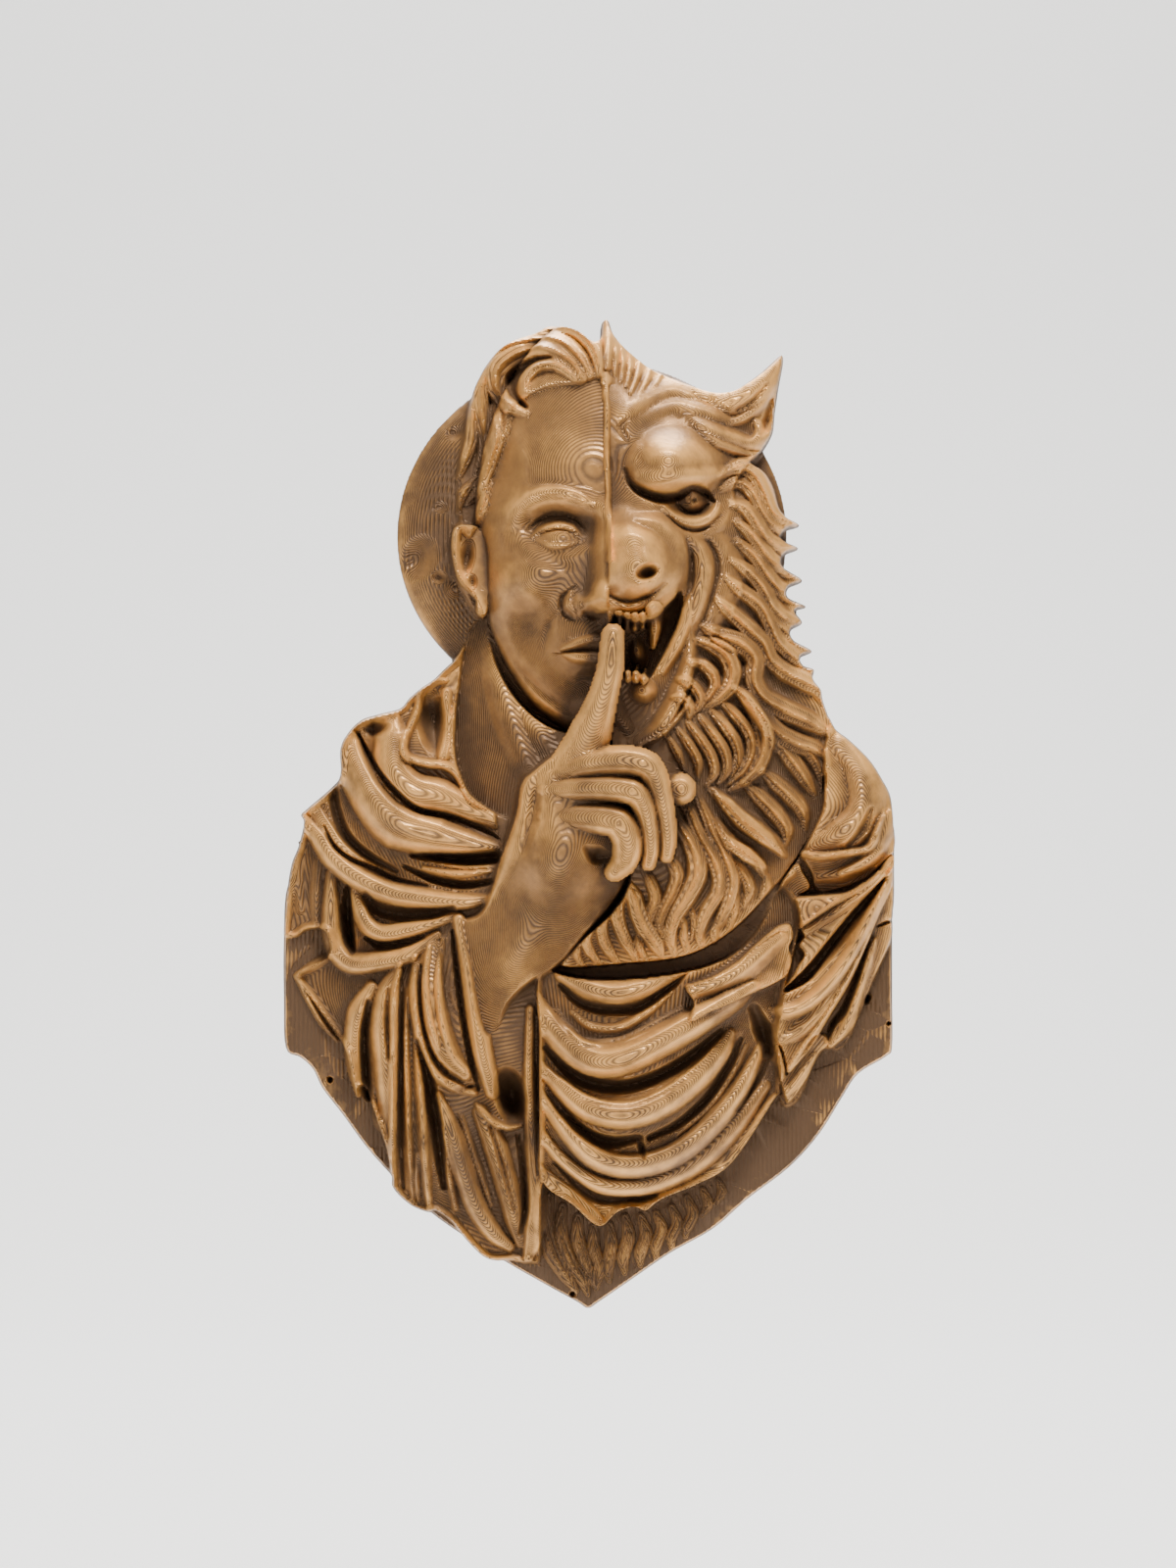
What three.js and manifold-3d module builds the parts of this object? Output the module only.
// A werewolf wall relief: a heater shield with a full moon, and on them a draped half figure.
// Its left half is human and its right half is a wolf, and it holds a finger to its lips.
// It is one solid. Its front is a height field: how far each point (x, z) stands out from the wall.
// X runs across the front, Z runs up, and the front faces -Y. The flat back lies on Y = 0.
import * as THREE from 'three';
import { mergeVertices } from 'three/addons/utils/BufferGeometryUtils.js';
import Module from 'manifold-3d';

// Driving dimensions, in millimetres
const SHIELD_DEPTH = 7;
const RIM_DEPTH = 4;
const MOON = { x: 1, z: 73.75, radiusX: 50.2, radiusZ: 45.5, rim: 6.5, bulge: 9.5 };
const SKULL = { x: 5, z: 76, radiusX: 34, radiusZ: 55, rim: 12, bulge: 23 };
const EAR_DEPTH = 19.5;
const MOUTH_DEPTH = 9;
const TOOTH_LENGTH = 7.5;
const FINGER_DROP = 5.5;

// The grid that the front is measured on, and how far a facet may leave it
const CELLS = 256;
const CELL = 1.01;
const LEFT_EDGE = -CELLS * CELL / 2;
const BOTTOM_EDGE = -127.5;
const GRID_STEP = 1;
const SMALLEST_TURN = 0.3;
const FIRST_MISFIT = 0.019;
const LAST_MISFIT = 5;
const SOFTENING_PASSES = 1;
const PRISM_MARGIN = 1;
const MOON_SIDES = 64;
const SPILL_PASSES = 3;
const STROKE_STEPS = 5;
const EDGE_STEPS = 4;
const PRISM_STEPS = 2;
const SAME_POINT = 1e-4;
const TINY = 1e-9;

const FOLD_SINK = 2.6;
const FOLD_REACH = 2.5;
const HAIR_RISE = 1.6;
const HAIR_LEAN = 0.3;
const SHEET_EDGE = 0.8;
const GAP_EDGE = 1.5;
const MOUTH_EDGE = 1.2;
const HAND_EDGE = 1.6;
const FLAP_EDGE = 0.6;
const CHEEK_REACH = 1;
const BODY_DEPTH = 20;

// Mounds and hollows: centre x and z, radii, rise, and turn in degrees
const CRATERS = [
  [-43.5, 68, 7, 5.4, -2.6, 65], [-38.25, 63, 2.4, 2, -1.5], [-34.25, 100, 2.8, 2.2, -1.2, 20],
  [-34.5, 59.75, 3, 2.6, 0.7], [-37.75, 81, 2.4, 1.8, -0.8], [-46, 84, 3.4, 2.4, -0.5, 40],
];

const CLOAK_HOLLOWS = [
  [-39.5, 25.5, 5, 9.5, -6.5, 8], [-54, 24.25, 4.5, 2.6, -3.5, 20], [-19.75, -69.75, 4.6, 8.5, -12, 10],
];

const WOLF_SWELLS = [
  [22.5, 91.5, 13.5, 9.5, 6, -16], [13.5, 64, 11.5, 12, 6], [9, 74, 9, 8, 1.5], [26.75, 81.75, 6.5, 4.6, -3.4, -5],
  [26.75, 81.75, 4.2, 3.3, 4.8], [30, 58, 7, 16, 2.4, -10],
];

const WOLF_HOLLOWS = [[14.75, 63, 3.9, 2.6, -6.5, 18], [26.75, 82, 1, 1, -1]];

const JAW_SWELLS = [[14, 33.5, 4.2, 3.8, 3.2], [12.5, 43.5, 2.6, 4.6, 3.4, 8]];

const FACE_SWELLS = [
  [-8, 75, 12, 8.5, -5.2, -4], [0.2, 75.5, 4.4, 7, -1.4], [-7.6, 73.3, 7, 5.4, 4.4], [4.5, 57, 6, 5.4, 2.6],
  [-1.6, 55.2, 4.4, 4, 3], [3, 44.5, 15, 11, 3.6], [-15.5, 62, 11, 9, 2.8, 25], [-15, 49, 9, 11, -2, 20],
  [-22, 89, 8, 11, -2], [4.5, 29.5, 9.5, 7, 4], [4.5, 37.4, 9, 2.6, -1.8], [-4, 93, 18, 12, 1.4],
  [-10, 66.5, 8, 3, -0.9, -12],
];

const HAND_SWELLS = [
  [-7.5, -14, 9, 15, 2.2, -6], [-2, -27, 8, 12, 1.4, -35], [-19, -36, 8, 14, 1.4, -25],
];

// Strokes: half widths and rises along the line, and its points
const FACE_RIDGES = [
  [[4, 5, 5, 4.4], [1, 1.9, 1.7, 0.4], [[3, 79.5], [-6, 82], [-14.5, 81.4], [-22.5, 76]]],
  [[2, 3.2, 3.4, 2.6], [0.4, 1.8, 1.8, 0.8], [[-27, 58], [-24.5, 46], [-16.5, 34], [-5, 26]]],
];

const NOSE = [[[4.2, 4.8, 5.8, 6.8], [1.4, 4.2, 7, 9], [[5, 80], [5, 71], [5, 63], [5, 56.5]]]];

const LIDS_AND_LIPS = [
  [[0.7, 1.2, 1.3, 1, 0.6], [0.5, 1.3, 1.5, 1.2, 0.4],
    [[-1.2, 72], [-4, 74.6], [-7.6, 75.5], [-11.4, 74.6], [-14.2, 72.6]]],
  [[0.6, 0.9, 0.9, 0.5], [0.3, 0.8, 0.8, 0.3], [[-1.8, 71.6], [-5.4, 70.4], [-9.4, 70.3], [-13.6, 72.2]]],
  [[1, 1.5, 1.5, 1.2, 0.5], [0.3, 0.8, 0.8, 0.7, 0.2],
    [[0.8, 80.8], [-4, 83.2], [-9, 84.2], [-14.5, 83.2], [-19.6, 79.6]]],
  [[1.3, 1.5, 1.3, 1, 0.5], [1.6, 2, 1.6, 1, 0.2],
    [[5, 46], [2.6, 46.8], [-1, 46.2], [-4.4, 45], [-7.6, 43.6]]],
  [[2, 2, 1.5, 0.5], [2.4, 2.4, 1.6, 0.2], [[5, 41.6], [1.4, 41.5], [-3.4, 42], [-7, 43.2]]],
  [[0.9, 1.2, 0.7], [0.8, 1.4, 0.5], [[-4.4, 58.4], [-5.2, 55.2], [-3.4, 52.8]]],
  [[0.5, 0.6, 0.5], [0.3, 0.5, 0.3], [[5, 50.5], [3.6, 49], [2.8, 47.8]]],
];

const FACE_CREASES = [
  [[0.6, 0.8, 0.9, 0.8, 0.5], [0.4, 1, 1.2, 1, 0.3],
    [[-0.4, 74], [-3.4, 77.2], [-7.6, 78.3], [-12, 77.2], [-15.6, 74.4]]],
  [[0.6, 0.9, 0.9, 0.6], [0.4, 1.2, 1.2, 0.4], [[-3, 60], [-6.6, 57.2], [-6.4, 53.2], [-3.6, 51.4]]],
  [[0.6, 0.7, 0.7, 0.6, 0.4], [1.8, 1.8, 1.6, 1.2, 0.4],
    [[5, 43.9], [2, 44.2], [-1.6, 44], [-5.4, 43.6], [-8.6, 43.2]]],
  [[0.9, 1.2, 1], [1.4, 2, 0.8], [[4.4, 52.4], [1.6, 52.2], [-0.6, 53]]],
  [[1, 1.6, 1.2], [0.2, 0.7, 0.2], [[-6.4, 55], [-9.8, 50], [-11, 44.6]]],
  [[0.4, 0.5, 0.4], [0.5, 0.9, 0.4], [[-3, 73.6], [-7.6, 74.4], [-12, 73.6]]],
];

const EAR_RIDGES = [
  [[0.9, 1.4, 1.5, 1.4, 1.5, 1.2], [1.2, 2.4, 2.8, 2.4, 2.2, 1.2],
    [[-29.5, 75.5], [-33, 75.6], [-34.2, 70], [-33, 63.5], [-30.4, 58.4], [-27.9, 53.6]]],
];

const EAR_HOLLOWS = [[-31, 67.5, 2.4, 6, -2.6, -10], [-29.6, 61.5, 1.6, 2.6, -1.4]];

const HAIR_HOLLOW = [
  [[0.9, 1.9, 2, 1.5, 0.8], [1.6, 4.2, 4.4, 3, 1],
    [[-15.8, 105.8], [-19.2, 109.4], [-18.8, 113.6], [-14.6, 117.4], [-9.6, 118.4]]],
];

const SEAM = [
  [[0.8, 0.8], [1.7, 1.6], [[4.5, 114], [4.75, 97.5], [5.25, 80], [5.25, 66.25]]],
  [[1.5, 1.5], [1.8, 1.8], [[4.5, 112.8], [4.5, 112]]],
];


const SHIELD_OUTLINE = [
  [-62.5, -2.5], [62.5, -2.5], [75, -6.5], [78.5, -13], [78.5, -30], [78.5, -45], [78.5, -57.5],
  [77, -60.25], [69.75, -64.75], [65.5, -71], [59.5, -80.5], [51.75, -89], [41.25, -97], [32.25, -104.75],
  [21.25, -111], [11.75, -117.5], [3, -123.5], [0, -125.25], [-3, -123.5], [-11.25, -119], [-25, -111],
  [-41.25, -100], [-55, -86.25], [-63.5, -75], [-68.5, -68.5], [-71, -63.5], [-74.25, -60.5], [-78, -58],
  [-78.5, -45], [-78.5, -30], [-77.5, -16.25], [-72, -10],
];

const LEFT_CLOAK_OUTLINE = [
  [-23.75, 50], [-35, 41.5], [-40, 36.75], [-43, 34.75], [-46, 32.25], [-48.5, 29.5], [-54, 28],
  [-58.5, 26.5], [-62, 22.75], [-63.75, 18.75], [-63.75, 12.75], [-66, 9.25], [-72, 4], [-74, 2],
  [-73.25, 0], [-74.75, -6.25], [-76.5, -10.75], [-77.75, -18.5], [-78.5, -27.5], [-78, -29.5],
  [-75, -29.5], [-72, -27.75], [-67.5, -28], [-66.5, -33], [-70.5, -36], [-75.25, -39.25], [-70, -47.5],
  [-62.75, -58], [-60.75, -65.25], [-59.5, -71], [-58, -68], [-54, -77.5], [-50.75, -90],
  [-50.25, -94.25], [-46, -98.5], [-41.25, -100.5], [-39.25, -100], [-35.25, -102.75], [-31.75, -107.25],
  [-27.25, -111.75], [-23.75, -113], [-20, -112.75], [-15, -113.5], [-12, -111.25], [-11, -91.5],
  [-2.5, -65], [0, -36.25], [-10, -15], [-10, 2.5],
];

const LEFT_CLOAK_SHEET = [
  [-35, 41.5, 16], [-46, 32.25, 15], [-58.5, 26.5, 13], [-63.75, 12.75, 12], [-74, 2, 10],
  [-77.75, -18.5, 9], [-78.25, -29, 8.5], [-66.25, -33, 11], [-75.25, -39.25, 9], [-62.75, -58, 10],
  [-59.5, -71.5, 9], [-50.75, -90, 10], [-41.25, -100.5, 10], [-23.75, -113, 9.5], [-12.75, -112.5, 9.5],
  [-50, 15, 21], [-60, 0, 16.5], [-40, 10, 22], [-30, -5, 23], [-50, -15, 18], [-65, -15, 13],
  [-37.5, -30, 23], [-50, -47.5, 20], [-37.5, -65, 21], [-45, -85, 16], [-30, -85, 16], [-25, -102.5, 12],
  [-15, -77.5, 16], [-12.75, -91.5, 15], [-15, -40, 26], [-20, -15, 26], [-22.5, 20, 17],
];

const RIGHT_CLOAK_OUTLINE = [
  [61.5, 27.5], [64, 24], [67.5, 21.25], [72.5, 16.25], [75.75, 11.25], [78, 6.75], [78.75, -0.25],
  [79.25, -4.5], [79, -8], [79, -19.25], [78.5, -24.25], [78.25, -30], [74, -40], [68.75, -52.5],
  [62.75, -58.25], [60, -59], [56.75, -65.75], [51.75, -72.25], [49.5, -68.5], [45, -55], [40, -45],
  [25.75, -49.5], [25.75, -40.25], [36.25, -30], [47.5, -16.25], [53.75, -7.5], [58, 1.25], [60, 10],
  [59.5, 20],
];

const RIGHT_CLOAK_SHEET = [
  [62.25, 25.5, 16], [72.5, 16.25, 14], [78, 6.75, 12], [79, -8, 11], [78.5, -25, 10], [74, -40, 10],
  [62.75, -58.25, 9.5], [51.75, -72.25, 9.5], [67.5, 5, 20], [62.5, -7.5, 19], [57.5, -20, 14],
  [42.5, -27.5, 19], [40, -36.25, 22], [30, -43.75, 27], [50, -37.5, 17], [60, -35, 15], [70, -22.5, 14],
  [55, -50, 13], [25, -45, 31],
];

const CHEST_OUTLINE = [
  [-12, -36.25], [5, -31.25], [25, -30], [40, -22.5], [50, -15], [54.5, -25], [51.25, -40], [48.75, -55],
  [49.75, -68], [47.5, -72.25], [37.25, -87.5], [28.25, -93], [19, -96.75], [15, -99.75], [11.75, -98.75],
  [7.75, -100], [2.75, -103.75], [-4.5, -97.75], [-12.25, -91.5], [-12.75, -75], [-12.75, -55],
];

const CHEST_SHEET = [
  [-7.5, -36.25, 29], [5, -35, 32], [25, -33.75, 30], [40, -25, 26], [50, -15, 21], [-12.75, -65, 25],
  [5, -62.5, 32], [25, -55, 29], [42.5, -42.5, 23], [48.5, -67.5, 13], [37.25, -87.5, 13],
  [25, -93.75, 15], [12.5, -99, 17], [2.75, -103.75, 17], [-4.5, -97.75, 18], [-12.25, -91.5, 18],
  [0, -82.5, 28], [15, -82.5, 27], [30, -75, 22], [40, -65, 18],
];

const NECK_OUTLINE = [
  [-30.5, 50], [-20, 55], [0, 50], [10, 20], [0, 10], [-10, 2.5], [-18.75, 0.5], [-28.25, 5], [-32.5, 11],
  [-34.5, 20], [-33.5, 35],
];

const NECK_SHEET = [
  [-30, 45, 12], [-32.5, 20, 12], [-25, 35, 16], [-17.5, 30, 19], [-5, 30, 22], [-25, 12.5, 17],
  [-15, 7.5, 21], [0, 15, 24], [5, 50, 25],
];

const MANE_OUTLINE = [
  [32.5, 94.5], [43.5, 91.5], [47.5, 87], [49.75, 80], [54.5, 76.75], [51, 75.25], [50, 73],
  [54.25, 70.75], [50.75, 69], [50, 66], [55.25, 62.5], [51.75, 60.5], [51.5, 58], [56.25, 55.75],
  [53.5, 54.5], [55.25, 51.5], [52.25, 49.5], [53, 47], [57.75, 44.25], [54.75, 42.5], [55.5, 40.5],
  [58.25, 39.5], [58, 37], [60, 34.25], [60.5, 31.5], [62.25, 26], [61.5, 22], [60.5, 16.25], [60.75, 10],
  [60, 2.5], [54.5, -8], [48, -16.25], [37, -27.5], [25, -34], [10, -36], [-6.75, -36.75], [-2.5, -30],
  [10, -15], [10, 15], [16, 35], [27, 46.25], [32.5, 60], [34, 70], [31, 81.25],
];

const MANE_SHEET = [
  [37.5, 90, 19], [47.5, 85, 14], [49.25, 75, 14], [48.75, 60, 14], [53, 47.5, 14], [61.5, 29, 15],
  [61.25, 12.5, 15], [54.5, -8, 19], [37, -27.5, 26], [22.5, -33.75, 29], [0, -34.5, 28],
  [39.25, 76.25, 23], [43.75, 72.5, 18], [38.25, 62.5, 22.5], [43.75, 55, 19], [34.25, 47.5, 25],
  [28, 37.5, 28.5], [47.5, 30, 20], [35, 25, 29], [25, 30, 32], [25, 10, 33], [40, 10, 26], [50, 5, 21],
  [20, -10, 34], [35, -10, 30], [10, -22.5, 32], [15, 15, 34],
];

const HEAD_OUTLINE = [
  [5.5, 123.75], [1.75, 123], [-2, 125.75], [-6.25, 127.5], [-10.5, 127.75], [-13.75, 126], [-19, 124.25],
  [-23, 121.75], [-26.5, 117.5], [-29.25, 112.25], [-30.5, 107.5], [-32.25, 98.5], [-33.5, 89.75],
  [-33.25, 85], [-32.5, 77], [-30, 70], [-28.5, 57.5], [-26, 47.5], [-22.5, 37.5], [-17, 29.5],
  [-9.5, 24], [0, 22], [10, 22.5], [10, 85],
];

const EAR_OUTLINE = [
  [-31.5, 76.5], [-34.5, 75.5], [-35.25, 72], [-34.75, 67], [-33.25, 62], [-30.75, 59], [-29, 56.75],
  [-28.75, 53.75], [-27, 52], [-25.25, 54], [-25, 60], [-25.25, 70], [-27.5, 75.5],
];

const HAIR_OUTLINE = [
  [5.5, 123.75], [1.75, 123], [-2, 125.75], [-6.25, 127.5], [-10.5, 127.75], [-13.75, 126], [-19, 124.25],
  [-23, 121.75], [-26.5, 117.5], [-29.25, 112.25], [-30.5, 107.5], [-32.25, 98.5], [-33.5, 89.75],
  [-33.25, 85], [-32.75, 76], [-30, 73], [-27, 80], [-25.25, 87.5], [-23.5, 95], [-21, 102.5],
  [-17, 107.25], [-10, 110.5], [-2.5, 111.25], [3, 113], [6, 115],
];

const WOLF_OUTLINE = [
  [3, 123.75], [5, 129.5], [6.5, 126], [9.5, 122.25], [13.5, 118.75], [16.5, 116.5], [21.5, 114.25],
  [26.75, 112.25], [31.75, 110.75], [36.75, 111], [41.25, 113.5], [45.25, 116.5], [49.25, 120.25],
  [50.25, 120.25], [50.25, 118], [49.25, 112.5], [48.25, 105.75], [47.5, 100], [44.5, 95], [40, 90],
  [37.5, 85], [38.75, 77.5], [40, 70], [39.25, 60], [37, 55], [33.75, 45], [28.75, 37.5], [22.5, 26.25],
  [15, 20.5], [5, 21.25], [5, 85],
];

const WOLF_SHEET = [
  [5, 129.5, 15], [4.5, 120, 24], [4.5, 110, 30], [10, 105, 31], [10, 117.5, 21], [25, 112.25, 18],
  [40, 112.5, 16], [49.75, 120.25, 12], [48.75, 110, 13], [47.5, 100, 14], [25, 102.5, 26], [15, 100, 31],
  [20, 91.25, 35], [30.5, 92.5, 28], [5.5, 88.25, 33], [5.5, 80, 35], [12.5, 80, 37], [15, 72.5, 41],
  [6, 70, 42], [5, 62.5, 43], [15, 60, 42], [7.5, 50, 39], [22.5, 70, 35], [26.75, 81.75, 28],
  [33.75, 77.5, 26], [37.5, 62.5, 22], [30, 60, 26], [30.5, 50, 26], [33.75, 45, 25], [28.75, 37.5, 28.5],
  [22.5, 37.5, 30], [22.5, 26.25, 32], [15, 20.5, 33], [39.25, 60, 22.5], [10, 23, 33], [13.75, 35, 34],
  [5, 25, 34], [40, 95, 18],
];

const MOUTH_OUTLINE = [
  [6, 52.5], [12.5, 51.5], [17, 53], [21, 56.75], [23.25, 59], [24.25, 56], [23, 50], [20.5, 44.5],
  [17.75, 39.5], [15.5, 36.5], [12.5, 37.75], [9.5, 38], [6, 37.5],
];

const HAND_OUTLINE = [
  [-13.5, 14.5], [-8.5, 18.5], [-2.5, 22], [10, 18], [13.75, 12.5], [13.75, -2.5], [12, -11.25],
  [7.75, -20], [1.5, -27.25], [-6.5, -36.5], [-14.75, -41.5], [-19.75, -46.5], [-24, -54.5],
  [-28, -51.75], [-30.75, -36.5], [-32.75, -25.25], [-28, -22.25], [-24.75, -15], [-22.5, -7.5],
  [-19, 2.25], [-17.5, 10.25],
];

const HAND_SHEET = [
  [-16.5, 11.25, 36], [-7.5, 16.25, 41], [-18.5, 2.25, 33], [-11.25, 0, 40], [0, 10, 42], [0, -5, 41],
  [11.25, -2.5, 36], [0, -15, 37], [-10, -18.75, 36], [-24.25, -15, 28], [-15, -30, 32],
  [-25, -36.25, 27], [-32, -26.25, 24], [-24, -54, 21], [-6.25, -36.25, 27], [7.75, -19.5, 30],
  [-28.25, -50, 22], [-13.75, -10, 39],
];

const COLLAR = [
  [[0.8, 1.1, 1.2, 1.2, 1.2, 1.3, 1.4, 1.4, 1.4, 1.4, 1.4, 1.4, 1.2],
    [1.6, 2.6, 2.8, 2.8, 2.8, 3, 3.2, 3.2, 3.2, 3, 3, 2.8, 2],
    [
    [-36.5, 36.5], [-40.5, 36], [-42.75, 33.25], [-43.75, 28.5], [-45.75, 24], [-47, 19.25],
    [-45.25, 16.5], [-40.75, 15.25], [-36.5, 14.75], [-33.5, 12.75], [-31.25, 9], [-28.25, 5.75],
    [-18.5, 2]]],
  [[1.4, 2.2, 1.8], [1.4, 2.6, 1.8], [[-36.25, 33.5], [-37, 25], [-37, 17]]],
  [[1, 1.9, 1.7, 1], [1.2, 3, 2.8, 1], [[-27.5, 37.5], [-29.25, 29.5], [-30.75, 22], [-31, 16.5]]],
  [[0.8, 1.1, 0.8], [0.6, 1.2, 0.6], [[-32.5, 35], [-34.5, 26.25], [-35, 18]]],
];

const CHEST_SLITS = [
  [[0.9, 1.6, 1.8, 1.8, 1.6, 0.9], [1.4, 3, 3.4, 3.4, 3, 1.4], [[-7, -41], [-2, -45.5], [5, -47.25],
    [13, -46.5], [20, -42], [25, -38]]],
  [[1, 1.8, 2.2, 2.3, 2.2, 2, 1.2], [1.6, 4.4, 5.4, 5.6, 5.4, 4.6, 2], [[-11, -57], [-5, -63], [1, -66],
    [9, -66.75], [17, -64.5], [26, -59.5], [34, -53]]],
  [[1, 1.6, 2, 2.2, 1.4], [1.6, 3.8, 5, 5.2, 3], [[-12.5, -66], [-7, -73], [-1, -78.5], [5.5, -81],
    [13, -80]]],
  [[1.2, 1.5, 1.6, 1.5, 0.9], [2.6, 3.2, 3.4, 3, 1.4], [[15.5, -80], [23, -76.5], [30.5, -70],
    [36, -61.5], [39, -55]]],
  [[1, 1.4, 0.7], [1.6, 2.4, 1], [[12, -79.5], [13.5, -82], [14.25, -85]]],
  [[0.9, 1.6, 2, 1.9, 1], [1.2, 3, 3.6, 3.4, 1.4], [[-8.5, -86.5], [-2.5, -92.5], [3, -96], [11, -96.5],
    [17.5, -95.5]]],
  [[0.8, 1.2, 0.8], [1, 2, 1], [[38, -73.5], [44, -65], [47.5, -57]]],
  [[2, 3, 2], [3, 6, 4], [[42.5, -47.5], [44.5, -52.5], [46, -59]]],
];

const CLOAK_RIGHT_FOLDS = [
  [[3.5, 5.6, 6, 5, 3], [1.5, 4.5, 5, 4.2, 1.8], [[65.5, 20], [70.5, 13.5], [72.25, 6.25], [70, 0.5],
    [64.5, -3.5], [58, -6.5]]],
  [[1.6, 2.4, 2.6, 2.4, 1.4], [1.4, 2.6, 2.8, 2.4, 1], [[76.25, 10], [77, 2], [75, -4.5], [71.5, -9.5],
    [65, -12.5]]],
];

const CLOAK_RIGHT_FLAPS = [
  [[0], [1.8], [[53.75, -7], [58.5, -7.75], [67, -6.75], [71, -5.5], [73.75, -0.5], [77.75, 3.5],
    [79.25, -4.5], [77.75, -8.5], [72.25, -13.5], [66.5, -16], [60, -17.75], [57.75, -15.75],
    [57.25, -13], [55.5, -10]]],
  [[0], [3.2], [[38.25, -27], [40.25, -23.5], [43, -19.25], [47, -14.5], [53, -10.5], [54.75, -12.5],
    [56.75, -16.5], [52.25, -19.25], [47.5, -22.5], [43.25, -25.25], [40, -27.75]]],
  [[0], [1.4], [[61.75, -57.5], [64.25, -58.25], [66.75, -56], [68.75, -51.75], [70, -46.5],
    [71.5, -41.25], [73, -36], [74, -29.25], [71, -34], [68.5, -41.75], [65.5, -48.25], [62.5, -52.5],
    [61, -55.5]]],
  [[0], [1.6], [[48.75, -66], [49, -70.25], [50.75, -73], [53.5, -71.75], [56, -67.5], [57.75, -62.75],
    [61.5, -56.5], [59.25, -54.25], [54.5, -60.75], [51.5, -64]]],
  [[0], [3.4], [[46.5, -44.25], [49, -43.5], [56.5, -40.25], [62.75, -32], [68, -25], [73.5, -18.5],
    [77.75, -11.5], [77.75, -16.25], [74.5, -23.75], [72, -30], [69.75, -35.25], [66.5, -42],
    [62.75, -48.25], [58.75, -55], [54.5, -60.75], [51.25, -64], [50.5, -61.5], [49.5, -57.75],
    [47.75, -54.5], [46.5, -51.75], [47.75, -48]]],
  [[0], [4.4], [[54, -26.25], [56.75, -24.25], [62, -20.5], [66.5, -17.75], [72, -14.5], [77.75, -8.5],
    [78.5, -11], [72.5, -17.5], [67, -23.5], [62, -29.5], [56.5, -36], [51.5, -41], [50, -42],
    [52.25, -39.5], [53.75, -36.5], [55.25, -33.5], [53.75, -31.25], [55, -28.75]]],
];

const CHEST_FLAP = [
  [[0], [4.6], [[24.75, -41.5], [26.75, -40.5], [32.5, -38.5], [38.25, -35], [43, -30.5], [47.75, -26.75],
    [51.25, -25.75], [52.25, -28.75], [51.25, -31.75], [51.75, -35.5], [50.25, -39], [46, -41.5],
    [40.75, -43.5], [35.5, -45.75], [30.25, -47.75], [26, -49.75], [26.75, -45.5]]],
];

const CLOAK_RIGHT_GAP = [
  [[0], [8], [[40.75, -29.5], [46, -26], [49.75, -23], [52.5, -19.25], [58, -18.5], [66, -17.75],
    [70, -15.5], [74.25, -12.5], [71, -15.5], [63, -20.5], [58.5, -23.5], [53.75, -26.5], [50, -27.5]]],
  [[0], [6.5], [[42.5, -46], [45.5, -42.5], [46.5, -47.5], [46.25, -52.5], [48, -55.5], [49.75, -60.75],
    [50.25, -64.5], [48.5, -66], [46.25, -63.5], [45, -58], [43.5, -50.25]]],
];

const CLOAK_RIGHT_RIDGES = [
  [[2, 3.2, 3.8, 3.6, 2.2], [1.2, 2.4, 3, 2.8, 1.4], [[26.5, -42.5], [32.5, -40.75], [38.5, -37.5],
    [44, -33], [49, -29]]],
  [[0.7, 1, 1, 1, 1, 0.7], [1, 1.6, 1.6, 1.6, 1.4, 0.8], [[25.5, -41.5], [32.25, -39], [38, -35.5],
    [42.75, -31.25], [47.5, -27.5], [50.75, -26.75]]],
  [[1, 1.5, 1.6, 1.6, 1.6, 1.5, 1.3, 0.8], [1.4, 2.6, 2.8, 2.8, 2.8, 2.4, 2, 1], [[54.25, -7.5],
    [58.75, -8.5], [64, -8], [67.5, -7.5], [71, -6.5], [73, -4], [74.5, 0], [76, 3.5]]],
  [[1.6, 2.4, 2.2, 1.2], [0.8, 1.6, 1.6, 0.6], [[59, -14], [64.5, -13.25], [70, -11], [75, -7]]],
  [[1, 2, 2.2, 1.4], [1, 2.4, 2.6, 1.2], [[40, -26], [43, -21.5], [47, -16.5], [52, -12.75]]],
  [[1.4, 2.2, 2, 1.8, 1], [1, 2, 2, 1.6, 0.8], [[55.5, -27.5], [61.5, -23.5], [66.5, -20], [72, -16],
    [76.5, -11.5]]],
  [[1.4, 2.6, 3, 2.8, 2.6, 2.3, 1.9, 1], [1, 3, 3.8, 3.6, 3.4, 3, 2.4, 0.8], [[47.5, -47.75], [51.5, -48],
    [56.5, -45.75], [61.75, -41], [66.5, -34.5], [70.75, -26.5], [74, -19.75], [77.25, -13]]],
  [[1.6, 2.8, 2.8, 2.4, 1.2], [0.6, 1.6, 1.8, 1.4, 0.5], [[50, -55.5], [54.5, -53], [59, -48.5],
    [63, -42.5], [67, -36.5]]],
  [[0.7, 1, 1.1, 1.1, 1, 0.7], [0.8, 1.4, 1.6, 1.6, 1.4, 0.8], [[51.5, -62.5], [55.5, -56.5], [60, -50.5],
    [64.5, -43], [68.5, -35.5], [72, -28]]],
  [[1, 1.8, 1.8, 1.6, 1], [0.8, 1.8, 1.8, 1.6, 0.8], [[63, -56.5], [66, -52.5], [68.25, -46.5],
    [70.25, -40.5], [72.5, -33.5]]],
  [[1, 1.6, 1.6, 1], [0.6, 1.4, 1.4, 0.6], [[50, -70], [52.5, -67.5], [55, -64], [58, -59.5]]],
];

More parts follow.
